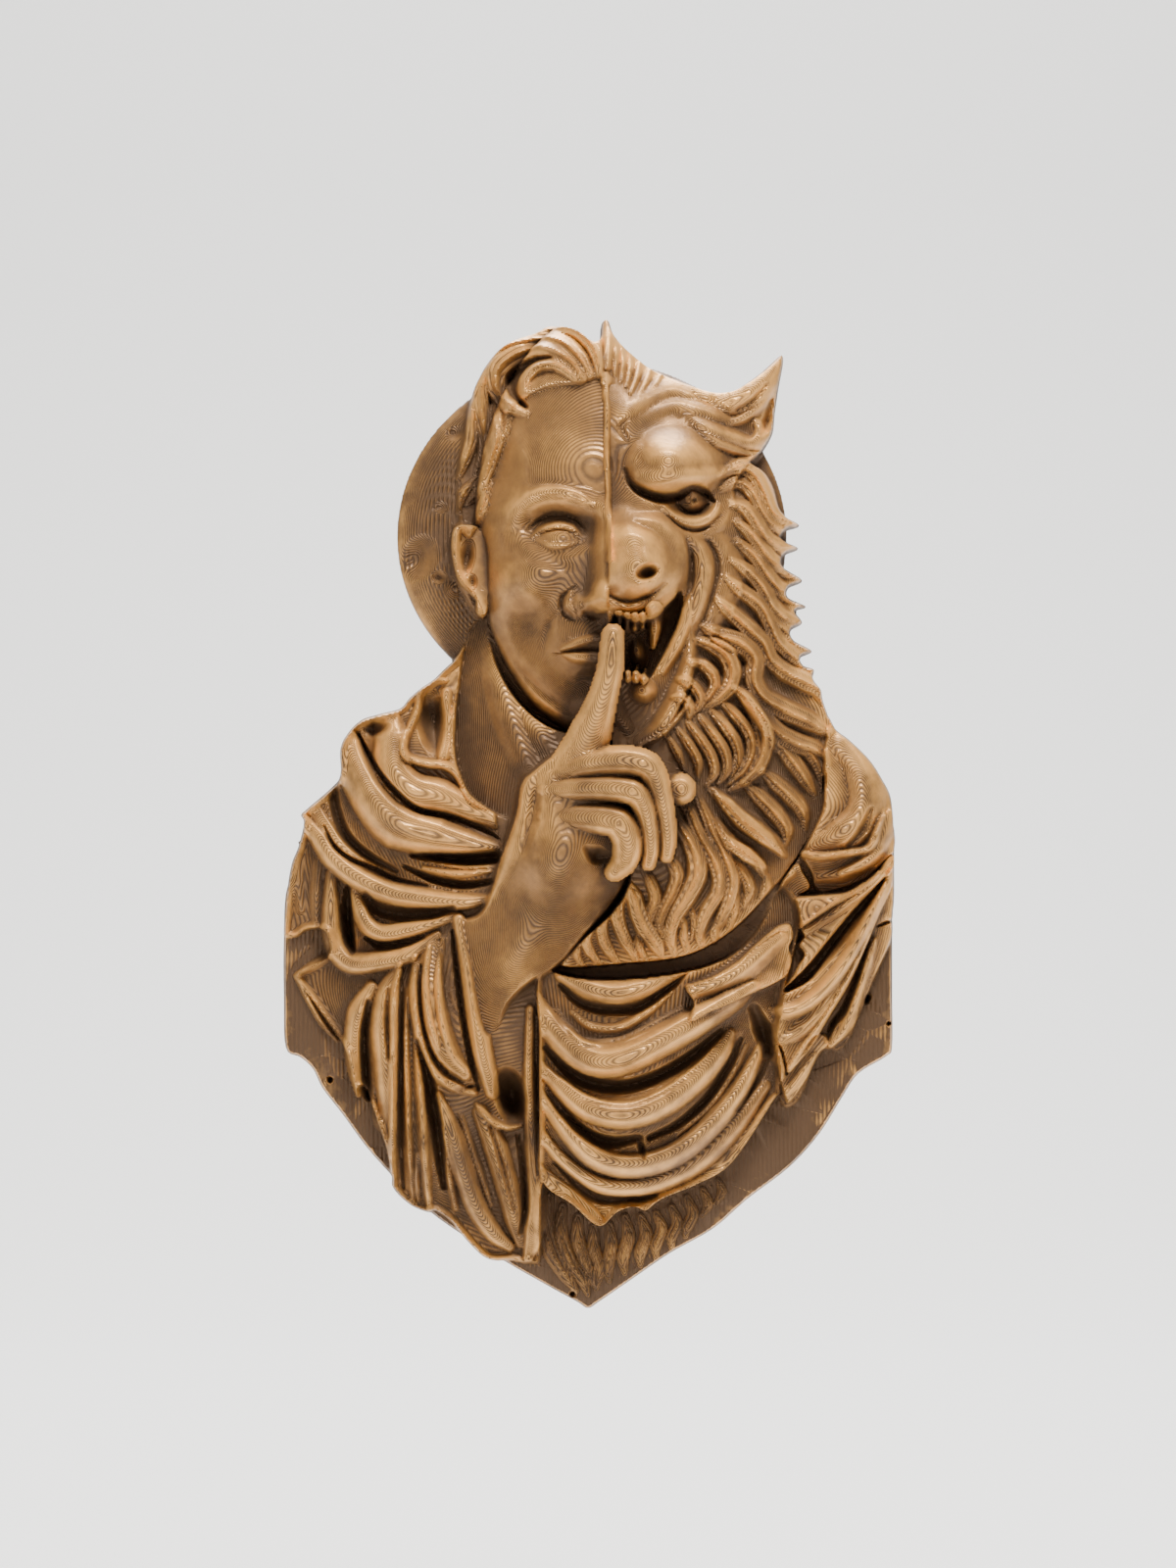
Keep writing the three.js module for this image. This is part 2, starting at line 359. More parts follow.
const MANE_CURLS = [
  [[1.2, 2.4, 2.9, 3, 2.6, 1.8, 0.7], [1.6, 4.6, 5.8, 6, 5, 3.4, 1], [[27.75, 46.25], [32, 45],
    [35.25, 42.5], [36.75, 38.5], [35.75, 34.5], [32.75, 31.5], [29.25, 29.25]]],
  [[1, 1.8, 2.1, 1.9, 1.4, 0.6], [1.4, 3.8, 4.6, 4.2, 3, 1], [[25.75, 41], [29, 40.25], [31.5, 38],
    [32.25, 35], [30.5, 32], [28.25, 29.75]]],
  [[1, 1.6, 1.8, 1.5, 0.6], [1.2, 3.2, 3.8, 3.2, 1], [[22.75, 36.5], [25.5, 35.75], [27.75, 33.5],
    [28.5, 30.75], [27, 28]]],
  [[0.9, 1.6, 1.7, 0.7], [1, 3, 3.2, 1], [[21.25, 32], [24, 31.75], [25.75, 29.5], [25.25, 26]]],
  [[1, 2.1, 2.7, 2.9, 2.6, 1.9, 0.6], [1.4, 4, 5.4, 5.8, 5, 3.4, 1], [[36, 35.5], [40, 31.75],
    [43.5, 25.75], [45, 20.5], [43.5, 15], [40, 11.25], [35.75, 8.25]]],
  [[1, 1.8, 2.2, 2.3, 1.8, 0.6], [1.2, 3.4, 4.6, 4.6, 3.4, 1], [[33.5, 31.25], [37.5, 27.5], [41, 23],
    [41.75, 18], [39.25, 13], [35.5, 9.75]]],
  [[1, 1.7, 2, 1.8, 0.6], [1.2, 3.2, 4, 3.4, 1], [[31, 28.75], [34.5, 25], [37.5, 20.5], [38.25, 15.75],
    [36, 11]]],
  [[1, 1.6, 1.9, 1.7, 0.6], [1.2, 3, 3.8, 3.2, 1], [[28.25, 27], [31.5, 23], [34.5, 18.5], [35.25, 13.75],
    [33, 10]]],
  [[1, 1.6, 1.8, 1.6, 0.6], [1.2, 2.8, 3.6, 3, 1], [[25.25, 25.5], [28.5, 21.5], [31.25, 17], [32, 12.75],
    [29.75, 9.5]]],
  [[0.9, 1.5, 1.6, 0.7], [1, 2.6, 3, 1], [[22.5, 24], [25.5, 20], [27.75, 15.75], [27.75, 11.5]]],
  [[0.8, 1.4, 0.8], [1, 2.4, 1], [[19.75, 22.5], [22.5, 18], [24.5, 13.5]]],
];

const BEARD = [
  [[1.2, 2.2, 2.7, 3, 3, 2.7, 2.3, 1.9, 0.7], [1.2, 3.4, 4.2, 4.4, 4.4, 4, 3.4, 2.8, 0.8], [[21.5, 4.5],
    [23.25, -0.5], [25.75, -4.5], [27.5, -9], [27.5, -13.5], [25, -18.5], [22, -23.5], [20.75, -28.5],
    [22, -33.5]]],
  [[1.2, 1.9, 2.2, 2.4, 2.5, 2.3, 2, 1.6, 0.6], [1.2, 3, 3.6, 3.8, 3.8, 3.6, 3, 2.4, 0.8], [[24.25, 7],
    [26, 2.25], [28.5, -3.5], [31.25, -8], [33.25, -13.25], [32.75, -17.75], [30, -22.5], [28.25, -27.5],
    [29, -31.5]]],
  [[1.1, 1.8, 2.2, 2.3, 2.4, 2.2, 1.7, 0.7], [1.2, 2.8, 3.4, 3.6, 3.6, 3.2, 2.6, 1], [[27, 8.5],
    [29.5, 3], [31.75, -2.5], [34.5, -8], [36.5, -14], [35.75, -19.5], [33.75, -24], [32, -27]]],
  [[1, 2.2, 2.8, 3, 2.4, 0.8], [1, 3, 3.8, 4, 3.4, 1], [[30.5, 9], [35.25, 4.75], [38.5, 1.25],
    [43, -1.75], [47, -4.75], [50.25, -8.25]]],
  [[1, 2, 2.4, 2, 0.7], [1, 2.8, 3.2, 2.8, 0.8], [[32.25, -1.5], [36.25, -5.25], [40.5, -7.75],
    [43.5, -10.5], [45, -14]]],
  [[1, 1.8, 1.9, 0.7], [1, 2.4, 2.6, 0.8], [[35.5, -8], [39, -12], [41, -16.5], [39.5, -21]]],
  [[0.8, 1.4, 0.6], [0.8, 2, 0.8], [[45, -12.5], [45.5, -16], [43.5, -19.5]]],
  [[1, 1.8, 2.1, 2, 1.8, 1.5, 0.6], [1, 2.8, 3.2, 3.2, 2.8, 2.2, 0.8], [[17, -6.5], [20.5, -9],
    [22.5, -13], [21.25, -17.5], [19, -22], [18, -26.5], [20, -30.5]]],
  [[1, 1.7, 1.9, 1.8, 1.4, 0.6], [1, 2.6, 3, 2.6, 2.2, 0.8], [[14, -11], [16, -15], [17, -19],
    [15.5, -23.5], [15, -27.5], [16, -31]]],
  [[1.2, 2.2, 2.7, 2.7, 2.2, 0.8], [1.2, 3, 3.8, 3.8, 3, 1], [[10, -15], [11.75, -18.5], [12.75, -22.5],
    [14.5, -26.5], [17.25, -30.5], [18.5, -33.5]]],
  [[1, 1.8, 2, 1.9, 1.5, 0.6], [1, 2.6, 3, 2.8, 2, 0.8], [[8.5, -17], [7.5, -21], [7.75, -25],
    [9.25, -29], [11, -32], [12.5, -35.25]]],
  [[0.9, 1.6, 1.8, 1.5, 0.6], [1, 2.4, 2.6, 2, 0.8], [[5, -21.5], [3.5, -25.5], [4, -29.5], [5.5, -32.5],
    [8, -35.75]]],
  [[0.8, 1.5, 1.5, 0.6], [1, 2.2, 2.2, 0.8], [[1, -26], [-0.5, -29.5], [0.5, -32.5], [3.25, -36]]],
  [[0.7, 1.3, 0.6], [0.8, 2, 0.8], [[-2, -29.5], [-3, -32.5], [-1.5, -36]]],
  [[0.7, 1.3, 0.6], [0.8, 2.2, 0.8], [[13, -27], [12.75, -30.5], [15, -35]]],
  [[0.7, 1.4, 0.6], [0.8, 2.2, 0.8], [[24.5, -24.5], [24.25, -28.5], [25.5, -33.5]]],
  [[0.7, 1.3, 0.6], [0.8, 2, 0.8], [[33.25, -24.5], [32, -27.5], [32.5, -30.5]]],
  [[0.7, 1.5, 0.6], [0.8, 2.2, 0.8], [[38, -18.5], [37, -22.5], [35.5, -27]]],
  [[0.7, 1.1, 0.6], [0.8, 2, 0.8], [[23, -22.5], [24.25, -26], [24.5, -30]]],
  [[0.7, 1.2, 0.6], [0.8, 2, 0.8], [[26, -21.5], [27, -25.5], [26, -29.5]]],
  [[0.7, 1.2, 0.6], [0.8, 1.8, 0.8], [[37, -21.5], [34.5, -24.5], [31.5, -27.5]]],
  [[0.9, 1.3, 0.6], [1, 2.2, 0.8], [[22.5, 8], [24.5, 4], [26, 1]]],
];

const HAIR_LOCKS = [
  [[1, 2.6, 3.2, 3.4, 3.4, 3.2, 2.8, 2.2, 1], [1, 3.6, 4.6, 5.2, 5.2, 4.8, 4, 3, 1], [[-15.5, 104],
    [-20.25, 106.75], [-23.5, 111.5], [-22.75, 116.5], [-17.75, 120.25], [-12.25, 121.5], [-7.5, 119.75],
    [-3.5, 116.5], [-1.25, 112.25]]],
  [[0.9, 1.7, 2, 2, 1.9, 1.5, 0.8], [1, 2.8, 3.6, 3.8, 3.4, 2.4, 0.8], [[-15.75, 109], [-16.25, 112.5],
    [-14.5, 115.25], [-11.75, 116.75], [-8.5, 116.75], [-5, 114.5], [-2.25, 111.75]]],
  [[1.2, 2.2, 2.6, 2.6, 2.5, 2.2, 1], [1.2, 3.4, 4, 4.2, 4, 3.2, 1], [[-27, 117], [-22, 121.75],
    [-16.25, 123.5], [-10.5, 124], [-5.75, 122], [-2, 118], [0.5, 113.5]]],
  [[1.1, 2, 2.3, 2.2, 2, 1], [1.2, 3, 3.4, 3.4, 3, 1], [[-14.25, 124.75], [-9, 126.5], [-3.75, 125.75],
    [0, 122.75], [2.25, 118.75], [3, 113.75]]],
  [[1.1, 2.2, 2.6, 2.5, 2.2, 0.9], [1.2, 3.6, 4.2, 4, 3.2, 1], [[-25.25, 117], [-27, 112.5], [-27.5, 108],
    [-26.75, 102.5], [-26.5, 95.5], [-28.75, 89.5]]],
  [[1, 2, 2.3, 2.2, 2, 0.8], [1, 3.2, 3.6, 3.4, 3, 0.8], [[-23, 110], [-24, 104.75], [-23.25, 98.5],
    [-24.75, 93], [-27.5, 86], [-31, 81.5]]],
  [[0.9, 1.8, 2, 1.8, 0.7], [1, 2.6, 3, 2.6, 0.8], [[-28.75, 111.5], [-29.75, 105], [-29.75, 98.5],
    [-31.5, 92.75], [-33.25, 88.25]]],
  [[1, 1.6, 0.7], [1.2, 2.4, 0.8], [[-28.5, 88.5], [-32, 84.25], [-33.25, 79.5]]],
  [[1, 1.8, 0.7], [1.2, 3, 0.8], [[-25.25, 87.5], [-27.25, 80], [-30, 73.5]]],
  [[0.9, 1.5, 0.7], [0.8, 2, 0.6], [[-19.75, 105.5], [-21.25, 99.75], [-23, 94]]],
];

const WOLF_RIDGES = [
  [[0.7, 1.9, 1.4], [1.2, 3, 2], [[4.75, 129.25], [5.5, 123.75], [4.75, 116]]],
  [[0.6, 1.2, 0.7], [0.8, 2, 0.8], [[6.75, 124.5], [7.25, 120], [6.75, 114]]],
  [[0.6, 1.1, 0.7], [0.8, 1.9, 0.8], [[8.5, 122], [9, 118], [8.5, 112.5]]],
  [[0.6, 1.1, 0.7], [0.7, 1.9, 0.8], [[10.75, 119.75], [10.75, 116], [9.75, 111]]],
  [[0.6, 1.1, 0.7], [0.7, 1.9, 0.8], [[13.25, 117.75], [12.5, 114], [10.75, 109.25]]],
  [[0.6, 1.1, 0.7], [0.7, 1.8, 0.8], [[16, 116], [14.75, 112.5], [12.25, 107.75]]],
  [[0.6, 1.1, 0.7], [0.7, 1.8, 0.8], [[18.75, 114.75], [17.25, 111.75], [14.5, 108.75]]],
  [[0.6, 1, 0.6], [0.6, 1.5, 0.6], [[22, 113.5], [20.5, 111.75], [18, 110]]],
  [[1.6, 2.8, 3.2, 3.2, 2.8, 1.2], [0.3, 1.1, 1.6, 2, 1.8, 0.5], [[9, 102.5], [13, 106.75], [17.5, 109.5],
    [21.75, 110.75], [25.5, 109.5], [29.5, 107]]],
  [[1.4, 2.4, 2.8, 2.8, 2.4, 1], [0.2, 0.9, 1.6, 2, 1.8, 0.5], [[14, 102.5], [18.5, 105.5], [23, 107],
    [27.5, 105.75], [32, 104.25], [36.5, 102.5]]],
  [[1.4, 2.2, 2.4, 2.4, 2.2, 2, 1.5, 0.9], [0.6, 2, 2.6, 2.8, 2.8, 2.6, 2, 0.8], [[26, 104], [29, 101.5],
    [33, 99.5], [37.5, 98], [41.5, 97], [43.75, 98.5], [44, 101], [42.5, 103.5]]],
  [[0.9, 1.6, 1.7, 1], [0.6, 2.2, 2.4, 1], [[28.5, 99.5], [33, 97], [38, 95.25], [42.75, 94.25]]],
  [[1.2, 2, 2.2, 1.2], [0.4, 1.6, 1.8, 0.6], [[23.5, 113.5], [26.75, 110.75], [31, 109], [35.5, 108]]],
  [[0.7, 1.1, 1.1, 0.7], [0.4, 1.2, 1.2, 0.4], [[25, 116.5], [28, 113.5], [32.5, 112], [37, 111]]],
  [[2, 4, 4.8, 4.2, 2.8, 0.8], [0.6, 3, 4.6, 4.4, 3, 0.8], [[31.5, 108.5], [36.5, 108], [41.5, 109.75],
    [45.25, 113], [48, 116.75], [49.75, 119.75]]],
  [[1, 1.5, 1.6, 1.4, 1.1, 0.4], [0.6, 2, 2.6, 2.2, 1.4, 0.4], [[35.5, 102], [39.25, 103.25],
    [43.25, 106.25], [46.25, 110.25], [48.5, 115], [49.75, 119]]],
  [[1.8, 1.9, 0.4], [2, 2.8, 0.8], [[42, 90.5], [45.5, 94.25], [49.25, 98.75]]],
  [[1.8, 1.6, 0.4], [2, 2.4, 0.8], [[44.25, 86.5], [46.25, 90], [48, 93.25]]],
  [[1.2, 1.5, 0.6], [1, 2, 0.6], [[39, 92.5], [42.5, 93], [45.25, 96]]],
];

const WOLF_CREASES = [
  [[0.8, 1.3, 1.7, 1.8, 1.5, 0.9], [0.8, 2.2, 3.8, 4.4, 3.8, 1.8], [[9.25, 89.5], [10.75, 86],
    [13.5, 83.75], [18, 82.25], [22.5, 82.75], [25.5, 84.25]]],
  [[0.9, 1.2, 1.2, 0.7], [2, 3.2, 3, 1.4], [[23.5, 84], [26.75, 85], [29.75, 84], [32, 81.75]]],
  [[0.7, 0.9, 0.9, 0.6], [1, 2, 1.8, 0.8], [[22.5, 81], [24.75, 79], [28, 79], [30.5, 81]]],
  [[0.7, 0.9, 0.9, 0.6], [0.5, 1.2, 1.2, 0.5], [[20, 77.75], [24, 75], [29, 74.75], [33.5, 78]]],
  [[0.7, 1.1, 1.1, 0.7], [0.8, 2, 2, 0.8], [[24.75, 72], [26, 67], [26, 60.5], [24, 55]]],
  [[0.7, 1.2, 1.2, 1.1, 0.7], [0.4, 1, 1.1, 1, 0.4], [[29.25, 73], [32.25, 68.5], [32.75, 63],
    [31.25, 57], [29, 51]]],
  [[0.7, 0.9, 0.9, 0.6], [0.6, 1.4, 1.4, 0.5], [[5.5, 57], [10, 55.75], [15, 57.25], [19.75, 60.5]]],
  [[1.2, 2, 1.6, 0.7], [1.6, 3.6, 3, 0.8], [[44.5, 99.5], [46, 103], [47.25, 107.5], [48.25, 111.5]]],
  [[0.9, 1.3, 0.8], [0.6, 1.6, 0.8], [[38, 105.5], [42, 108], [45.5, 112]]],
  [[1, 1.4, 1], [0.4, 1, 0.4], [[10, 97], [8.5, 100], [10, 102]]],
  [[0.7, 1, 0.7], [0.6, 1.6, 0.6], [[28, 40], [25, 32], [21, 25]]],
];

const TEETH = [
  [[1.1, 1], [1], [[7.75, 52.5], [7.75, 49.75]]],
  [[1.1, 1], [1], [[9.75, 52], [9.75, 49.25]]],
  [[1.1, 1], [1], [[11.75, 52], [11.75, 49.25]]],
  [[1, 0.8], [1], [[13.75, 52.25], [13.75, 49.75]]],
  [[2.4, 2, 0.8], [1], [[16.75, 53.5], [17, 49.5], [16.5, 44.75]]],
  [[1.1, 0.7], [1], [[10, 36.5], [10, 39.25]]],
  [[1.2, 0.7], [1], [[12, 36.5], [12.25, 39.5]]],
  [[1.1, 0.6], [1], [[14, 36.25], [14.5, 39]]],
];

const FINGERS = [
  [[2.9, 3.3, 3.5, 3.6, 4, 4.7, 5.5, 6.1, 6.6], [50, 50.4, 50.5, 50, 49, 47.8, 46.4, 45, 43], [
    [6.25, 47.5], [6, 44], [5.75, 40], [4.75, 35.5], [3.5, 31], [2, 26.5], [0.5, 22.5], [-1, 18.5],
    [-3, 14.5]]],
  [[3.6, 3.8, 3.9, 3.8, 3.6, 3.2, 2.8, 2.5, 2], [41, 45.6, 48.6, 49.5, 49, 47.5, 45.5, 43.5, 42], [
    [-8.5, 12], [-1, 15], [7.5, 16], [13.5, 15.25], [16.25, 13], [17.75, 9], [19.25, 2.5], [20, -4],
    [19.75, -8]]],
  [[3.2, 3.5, 3.6, 3.6, 3.4, 3.1, 2.8, 2.5, 2], [40.8, 44.8, 47.6, 49, 48.6, 47, 45.5, 44, 42.5], [
    [-10, 8.5], [-2.5, 9], [5.5, 9], [10.75, 8.25], [13, 6.5], [14.5, 3], [15.5, -2], [15.75, -6.5],
    [15.25, -10]]],
  [[3.4, 3.9, 4.1, 4.2, 4.2, 4, 3.5, 2.7], [40.6, 43.8, 46.2, 47.4, 47, 46, 44.6, 42.6], [[-10, 2],
    [-3, 1.75], [3.5, 1.25], [7.5, 0.25], [9.5, -2.5], [10, -6], [9, -9.5], [6.75, -12]]],
];

const THUMB = [
  [[3.2, 3.9, 4.1], [39, 41.5, 42], [[18, 8], [21, 8.5], [23.25, 8.75]]],
];

const LEFT_ROLLS = [
  [[2.2, 4, 4.6, 5.2, 6.2, 5, 2.6, 1], [3, 5.5, 6, 6.4, 6.4, 5.2, 3.4, 1.4], [[-61.5, 25.5], [-62, 20],
    [-60, 13.5], [-55.75, 6], [-49, -0.75], [-38.75, -3.25], [-27.5, -5.5], [-21, -6.5]]],
  [[3, 4.6, 5, 5, 4.4, 3.2, 2], [2.4, 4, 4.4, 4.4, 4, 3.2, 1.8], [[-52, 28], [-50.5, 22], [-50, 14],
    [-45, 8.5], [-37.5, 7], [-29.5, 3.5], [-20, -0.5]]],
  [[1.2, 2.6, 3.1, 3.3, 3.2, 2.8, 2.2, 1], [1.6, 3.8, 4.6, 5, 5, 4.6, 3.6, 1.6], [[-73.25, 1.75],
    [-69.75, -3], [-65.25, -9.5], [-59, -14.25], [-50.75, -17.75], [-41.5, -19.25], [-31, -20],
    [-23.5, -18.5]]],
  [[2, 2.6, 2.8, 2.4, 1], [1.5, 2.2, 2.4, 2, 0.8], [[-70.5, 3.5], [-68.5, -0.5], [-65, -5.5], [-60.5, -9],
    [-55, -11]]],
  [[1.3, 2.3, 2.6, 2.5, 2.2, 1.2], [1.6, 3.6, 4.4, 4.4, 3.6, 1.6], [[-60.25, -16], [-58.5, -22.5],
    [-56, -26.75], [-51.5, -28.25], [-43.5, -26.5], [-33.5, -23.5]]],
  [[1.6, 2.4, 2.7, 2.9, 3, 2.9, 2.5, 1.2], [2.2, 4, 4.4, 4.6, 4.6, 4.2, 3.4, 1.4], [[-66, -13],
    [-66.25, -21.25], [-66, -28.75], [-64, -33.75], [-60.5, -36], [-54.5, -35.5], [-46.5, -33.75],
    [-38.5, -28.5]]],
  [[2, 2.8, 2.9, 2.8, 2.2], [3, 4.4, 4.4, 4, 3], [[-33, -24.5], [-30.25, -36.25], [-28.5, -47.5],
    [-26.75, -58.75], [-24.25, -68.5]]],
  [[1.8, 2.9, 2.6, 2, 0.8], [2.4, 4.4, 4.2, 3.4, 1.2], [[-55.5, -42], [-59.25, -48.5], [-60.5, -56.5],
    [-60, -63.5], [-59, -70]]],
  [[1.8, 2.8, 3, 2.8, 2.2, 1], [1.6, 3, 3.2, 3, 2.4, 1], [[-49, -37.5], [-52, -44], [-53, -53],
    [-52.25, -65], [-51, -77.5], [-50.5, -85]]],
  [[2.4, 4, 4.4, 3.8, 2], [2, 3.6, 4, 3.6, 2], [[-40, -31.25], [-40.75, -40], [-39.5, -50], [-36, -59],
    [-31.5, -64]]],
  [[1.6, 2.8, 3, 3, 2.6, 1.6], [1.8, 4, 4.2, 4, 3.4, 2], [[-38.5, -70], [-34.5, -80], [-31.75, -89.5],
    [-28.75, -98.5], [-24.25, -105.5], [-20.25, -109]]],
  [[2.2, 3.4, 3.2, 2.6, 1.6], [2, 3.2, 3.2, 2.8, 1.6], [[-27.5, -74], [-23.75, -83], [-20.5, -94.5],
    [-19, -102], [-17.25, -108]]],
  [[1.3, 1.7, 2.2, 2.8, 2.8, 1.8], [2.4, 3.4, 3.6, 4, 4, 2.4], [[-14.75, -47.5], [-15, -65],
    [-14.25, -82.5], [-13.25, -95.5], [-14.25, -105.5], [-15.25, -111]]],
];

const LEFT_RIDGES = [
  [[1.1, 1.6, 1.6, 1.6, 1.5, 1.2], [2.4, 4, 4, 3.8, 3.4, 2.4], [[-48, -36.25], [-49.25, -45.5],
    [-49.5, -56], [-49.75, -69.5], [-50, -82.5], [-50.25, -93]]],
  [[1, 1.6, 1.8, 1.8, 1.2], [1.6, 3.2, 3.4, 3.2, 2], [[-44, -50], [-43, -65], [-42.25, -77.5],
    [-41.5, -90], [-40.75, -99]]],
  [[1, 1.3, 1.4, 1.3, 1], [1, 1.8, 1.9, 1.8, 1], [[-46, -42.5], [-46.5, -55], [-46.25, -70],
    [-45.75, -85], [-45, -97]]],
  [[1, 1.7, 1.8, 1.9, 2, 1.9, 1], [1.8, 3.6, 4, 4.2, 4.2, 3.6, 1.6], [[-44, -34], [-44.75, -41.5],
    [-44, -49.5], [-42, -58], [-39, -63.75], [-34.5, -67], [-29, -69]]],
  [[0.9, 1.2, 1.2, 0.8], [1, 1.8, 1.8, 0.8], [[-40.5, -31.5], [-41.5, -40], [-40.5, -49], [-38, -57]]],
  [[1, 1.4, 1.5, 1.4, 0.9], [1, 2, 2.2, 2, 0.8], [[-37, -29.5], [-38, -40], [-37, -50], [-34.5, -58.5],
    [-31, -63]]],
  [[1, 1.6, 1.2], [1, 2.2, 1.4], [[-37.25, -78], [-35.75, -89.5], [-34, -99]]],
  [[1, 1.5, 1.1], [1, 2, 1.2], [[-32.5, -75], [-28.5, -87.5], [-25, -98]]],
  [[0.9, 1.3, 1.3, 0.8], [1.6, 3, 3, 1.4], [[-28.5, -72], [-24.5, -76], [-20.75, -78], [-17.25, -77.5]]],
  [[0.9, 1.2, 0.8], [0.8, 1.4, 0.8], [[-43.5, -84.5], [-44, -91.5], [-43.5, -97.5]]],
  [[0.9, 1.2, 0.8], [1.2, 2.2, 1.2], [[-41.75, -11.5], [-33.5, -13], [-25, -12.25]]],
  [[0.8, 1, 1, 0.7], [0.8, 1.8, 1.8, 0.8], [[-44, -8], [-37.5, -10], [-29, -11], [-22, -10]]],
  [[0.9, 1.5, 0.7], [1, 2.2, 0.8], [[-55, -72.5], [-54, -77], [-52.25, -81]]],
  [[1.6, 2.4, 1.6], [0.6, 1.2, 0.6], [[-74.5, -7.5], [-75, -15], [-74, -22.5]]],
  [[1.6, 2.2, 1.6], [0.6, 1.4, 0.8], [[-69.5, -10], [-70, -17.5], [-70, -25]]],
  [[0.7, 0.9, 0.7], [1, 1.6, 1], [[-75.25, -39.25], [-71, -36.25], [-66.5, -33.5]]],
  [[0.7, 0.9, 0.9, 0.7], [1, 1.6, 1.6, 1], [[-75.25, -39.5], [-72, -45.5], [-68.5, -51.5], [-64.5, -56]]],
];

const LEFT_SLITS = [
  [[0.8, 1, 1.1, 1.1, 0.9, 0.9, 0.7], [2.4, 3.2, 3.4, 3.2, 2.2, 2, 1], [[-59.75, 23.75], [-55, 15.5],
    [-49, 8], [-42.75, 3.25], [-34.25, 1.5], [-26, -2], [-21.5, -5]]],
  [[0.8, 1.9, 2.4, 2.6], [2, 6, 7, 7], [[-45, -8.25], [-38.5, -8.75], [-31, -9.25], [-23.5, -8.75]]],
  [[0.8, 1.4, 1.5, 1.2], [1.4, 4, 4.4, 3], [[-47, -11], [-39.75, -14.25], [-31.5, -15.75], [-24.5, -15]]],
  [[1.2, 1.8, 2, 1.8, 1], [2, 3.4, 3.4, 3, 1.4], [[-64.75, 11], [-65.25, 5.5], [-62.5, -2.5],
    [-57.25, -7.75], [-49, -12.25]]],
  [[0.6, 0.9, 0.9, 0.9, 0.9, 0.6], [1, 2.2, 2.4, 2.4, 2, 0.8], [[-67.75, -0.75], [-65, -6],
    [-60.75, -9.25], [-55, -11.5], [-49.5, -14.25], [-41, -16]]],
  [[1, 2, 2.4, 2.2, 1.2], [1.4, 3.6, 4.4, 4, 2], [[-57, -18], [-54, -22], [-47.5, -23.5], [-40, -23],
    [-34.5, -21.5]]],
  [[1, 1.9, 2, 1.2], [3, 7, 7, 3.4], [[-61.75, -16.5], [-62, -22.5], [-61.5, -29], [-60.5, -33]]],
  [[0.8, 1.5, 1.5, 0.8], [1.4, 3.4, 3.4, 1.4], [[-57, -29.5], [-53, -31.25], [-47, -30.5], [-42, -29]]],
  [[0.9, 1.5, 1.7, 1.6], [2, 4.4, 5, 4], [[-56.25, -45.5], [-57.5, -54], [-57.25, -62.5],
    [-56.5, -70.5]]],
  [[0.8, 1.1, 0.8], [1, 2, 1], [[-51, -42.5], [-51.5, -50], [-51, -60]]],
  [[1.2, 2.2, 2.4, 2, 1.2], [2.4, 5.4, 6, 4.6, 2], [[-43.5, -55.5], [-41, -65], [-39.25, -75], [-38, -85],
    [-37, -93.5]]],
  [[0.7, 0.9, 1, 0.9, 0.7], [1, 2, 2.2, 2, 1], [[-47.75, -40], [-47.75, -52.5], [-48, -67.5],
    [-48, -82.5], [-47.5, -94]]],
  [[0.6, 0.9, 0.9, 0.9, 0.7], [1.4, 2.4, 2.4, 2.2, 1], [[-42.5, -36.25], [-43, -42.5], [-42.25, -51],
    [-39.75, -59], [-36, -63.5]]],
  [[0.8, 1.2, 0.8], [1, 2.2, 1], [[-36, -66], [-32.5, -68], [-29, -67]]],
  [[0.7, 1, 1, 1, 0.7], [1.6, 3, 3, 2.8, 1.4], [[-34.5, -27.5], [-33.5, -37.5], [-32, -49], [-30, -60],
    [-28, -68]]],
  [[0.9, 1.2, 1.2, 0.8], [1.4, 2.6, 2.6, 1.2], [[-18, -80], [-16.5, -90], [-16, -99], [-17.5, -105.5]]],
  [[0.8, 1.1, 0.8], [1, 1.6, 0.8], [[-25, -77.5], [-22, -87.5], [-19, -99]]],
];

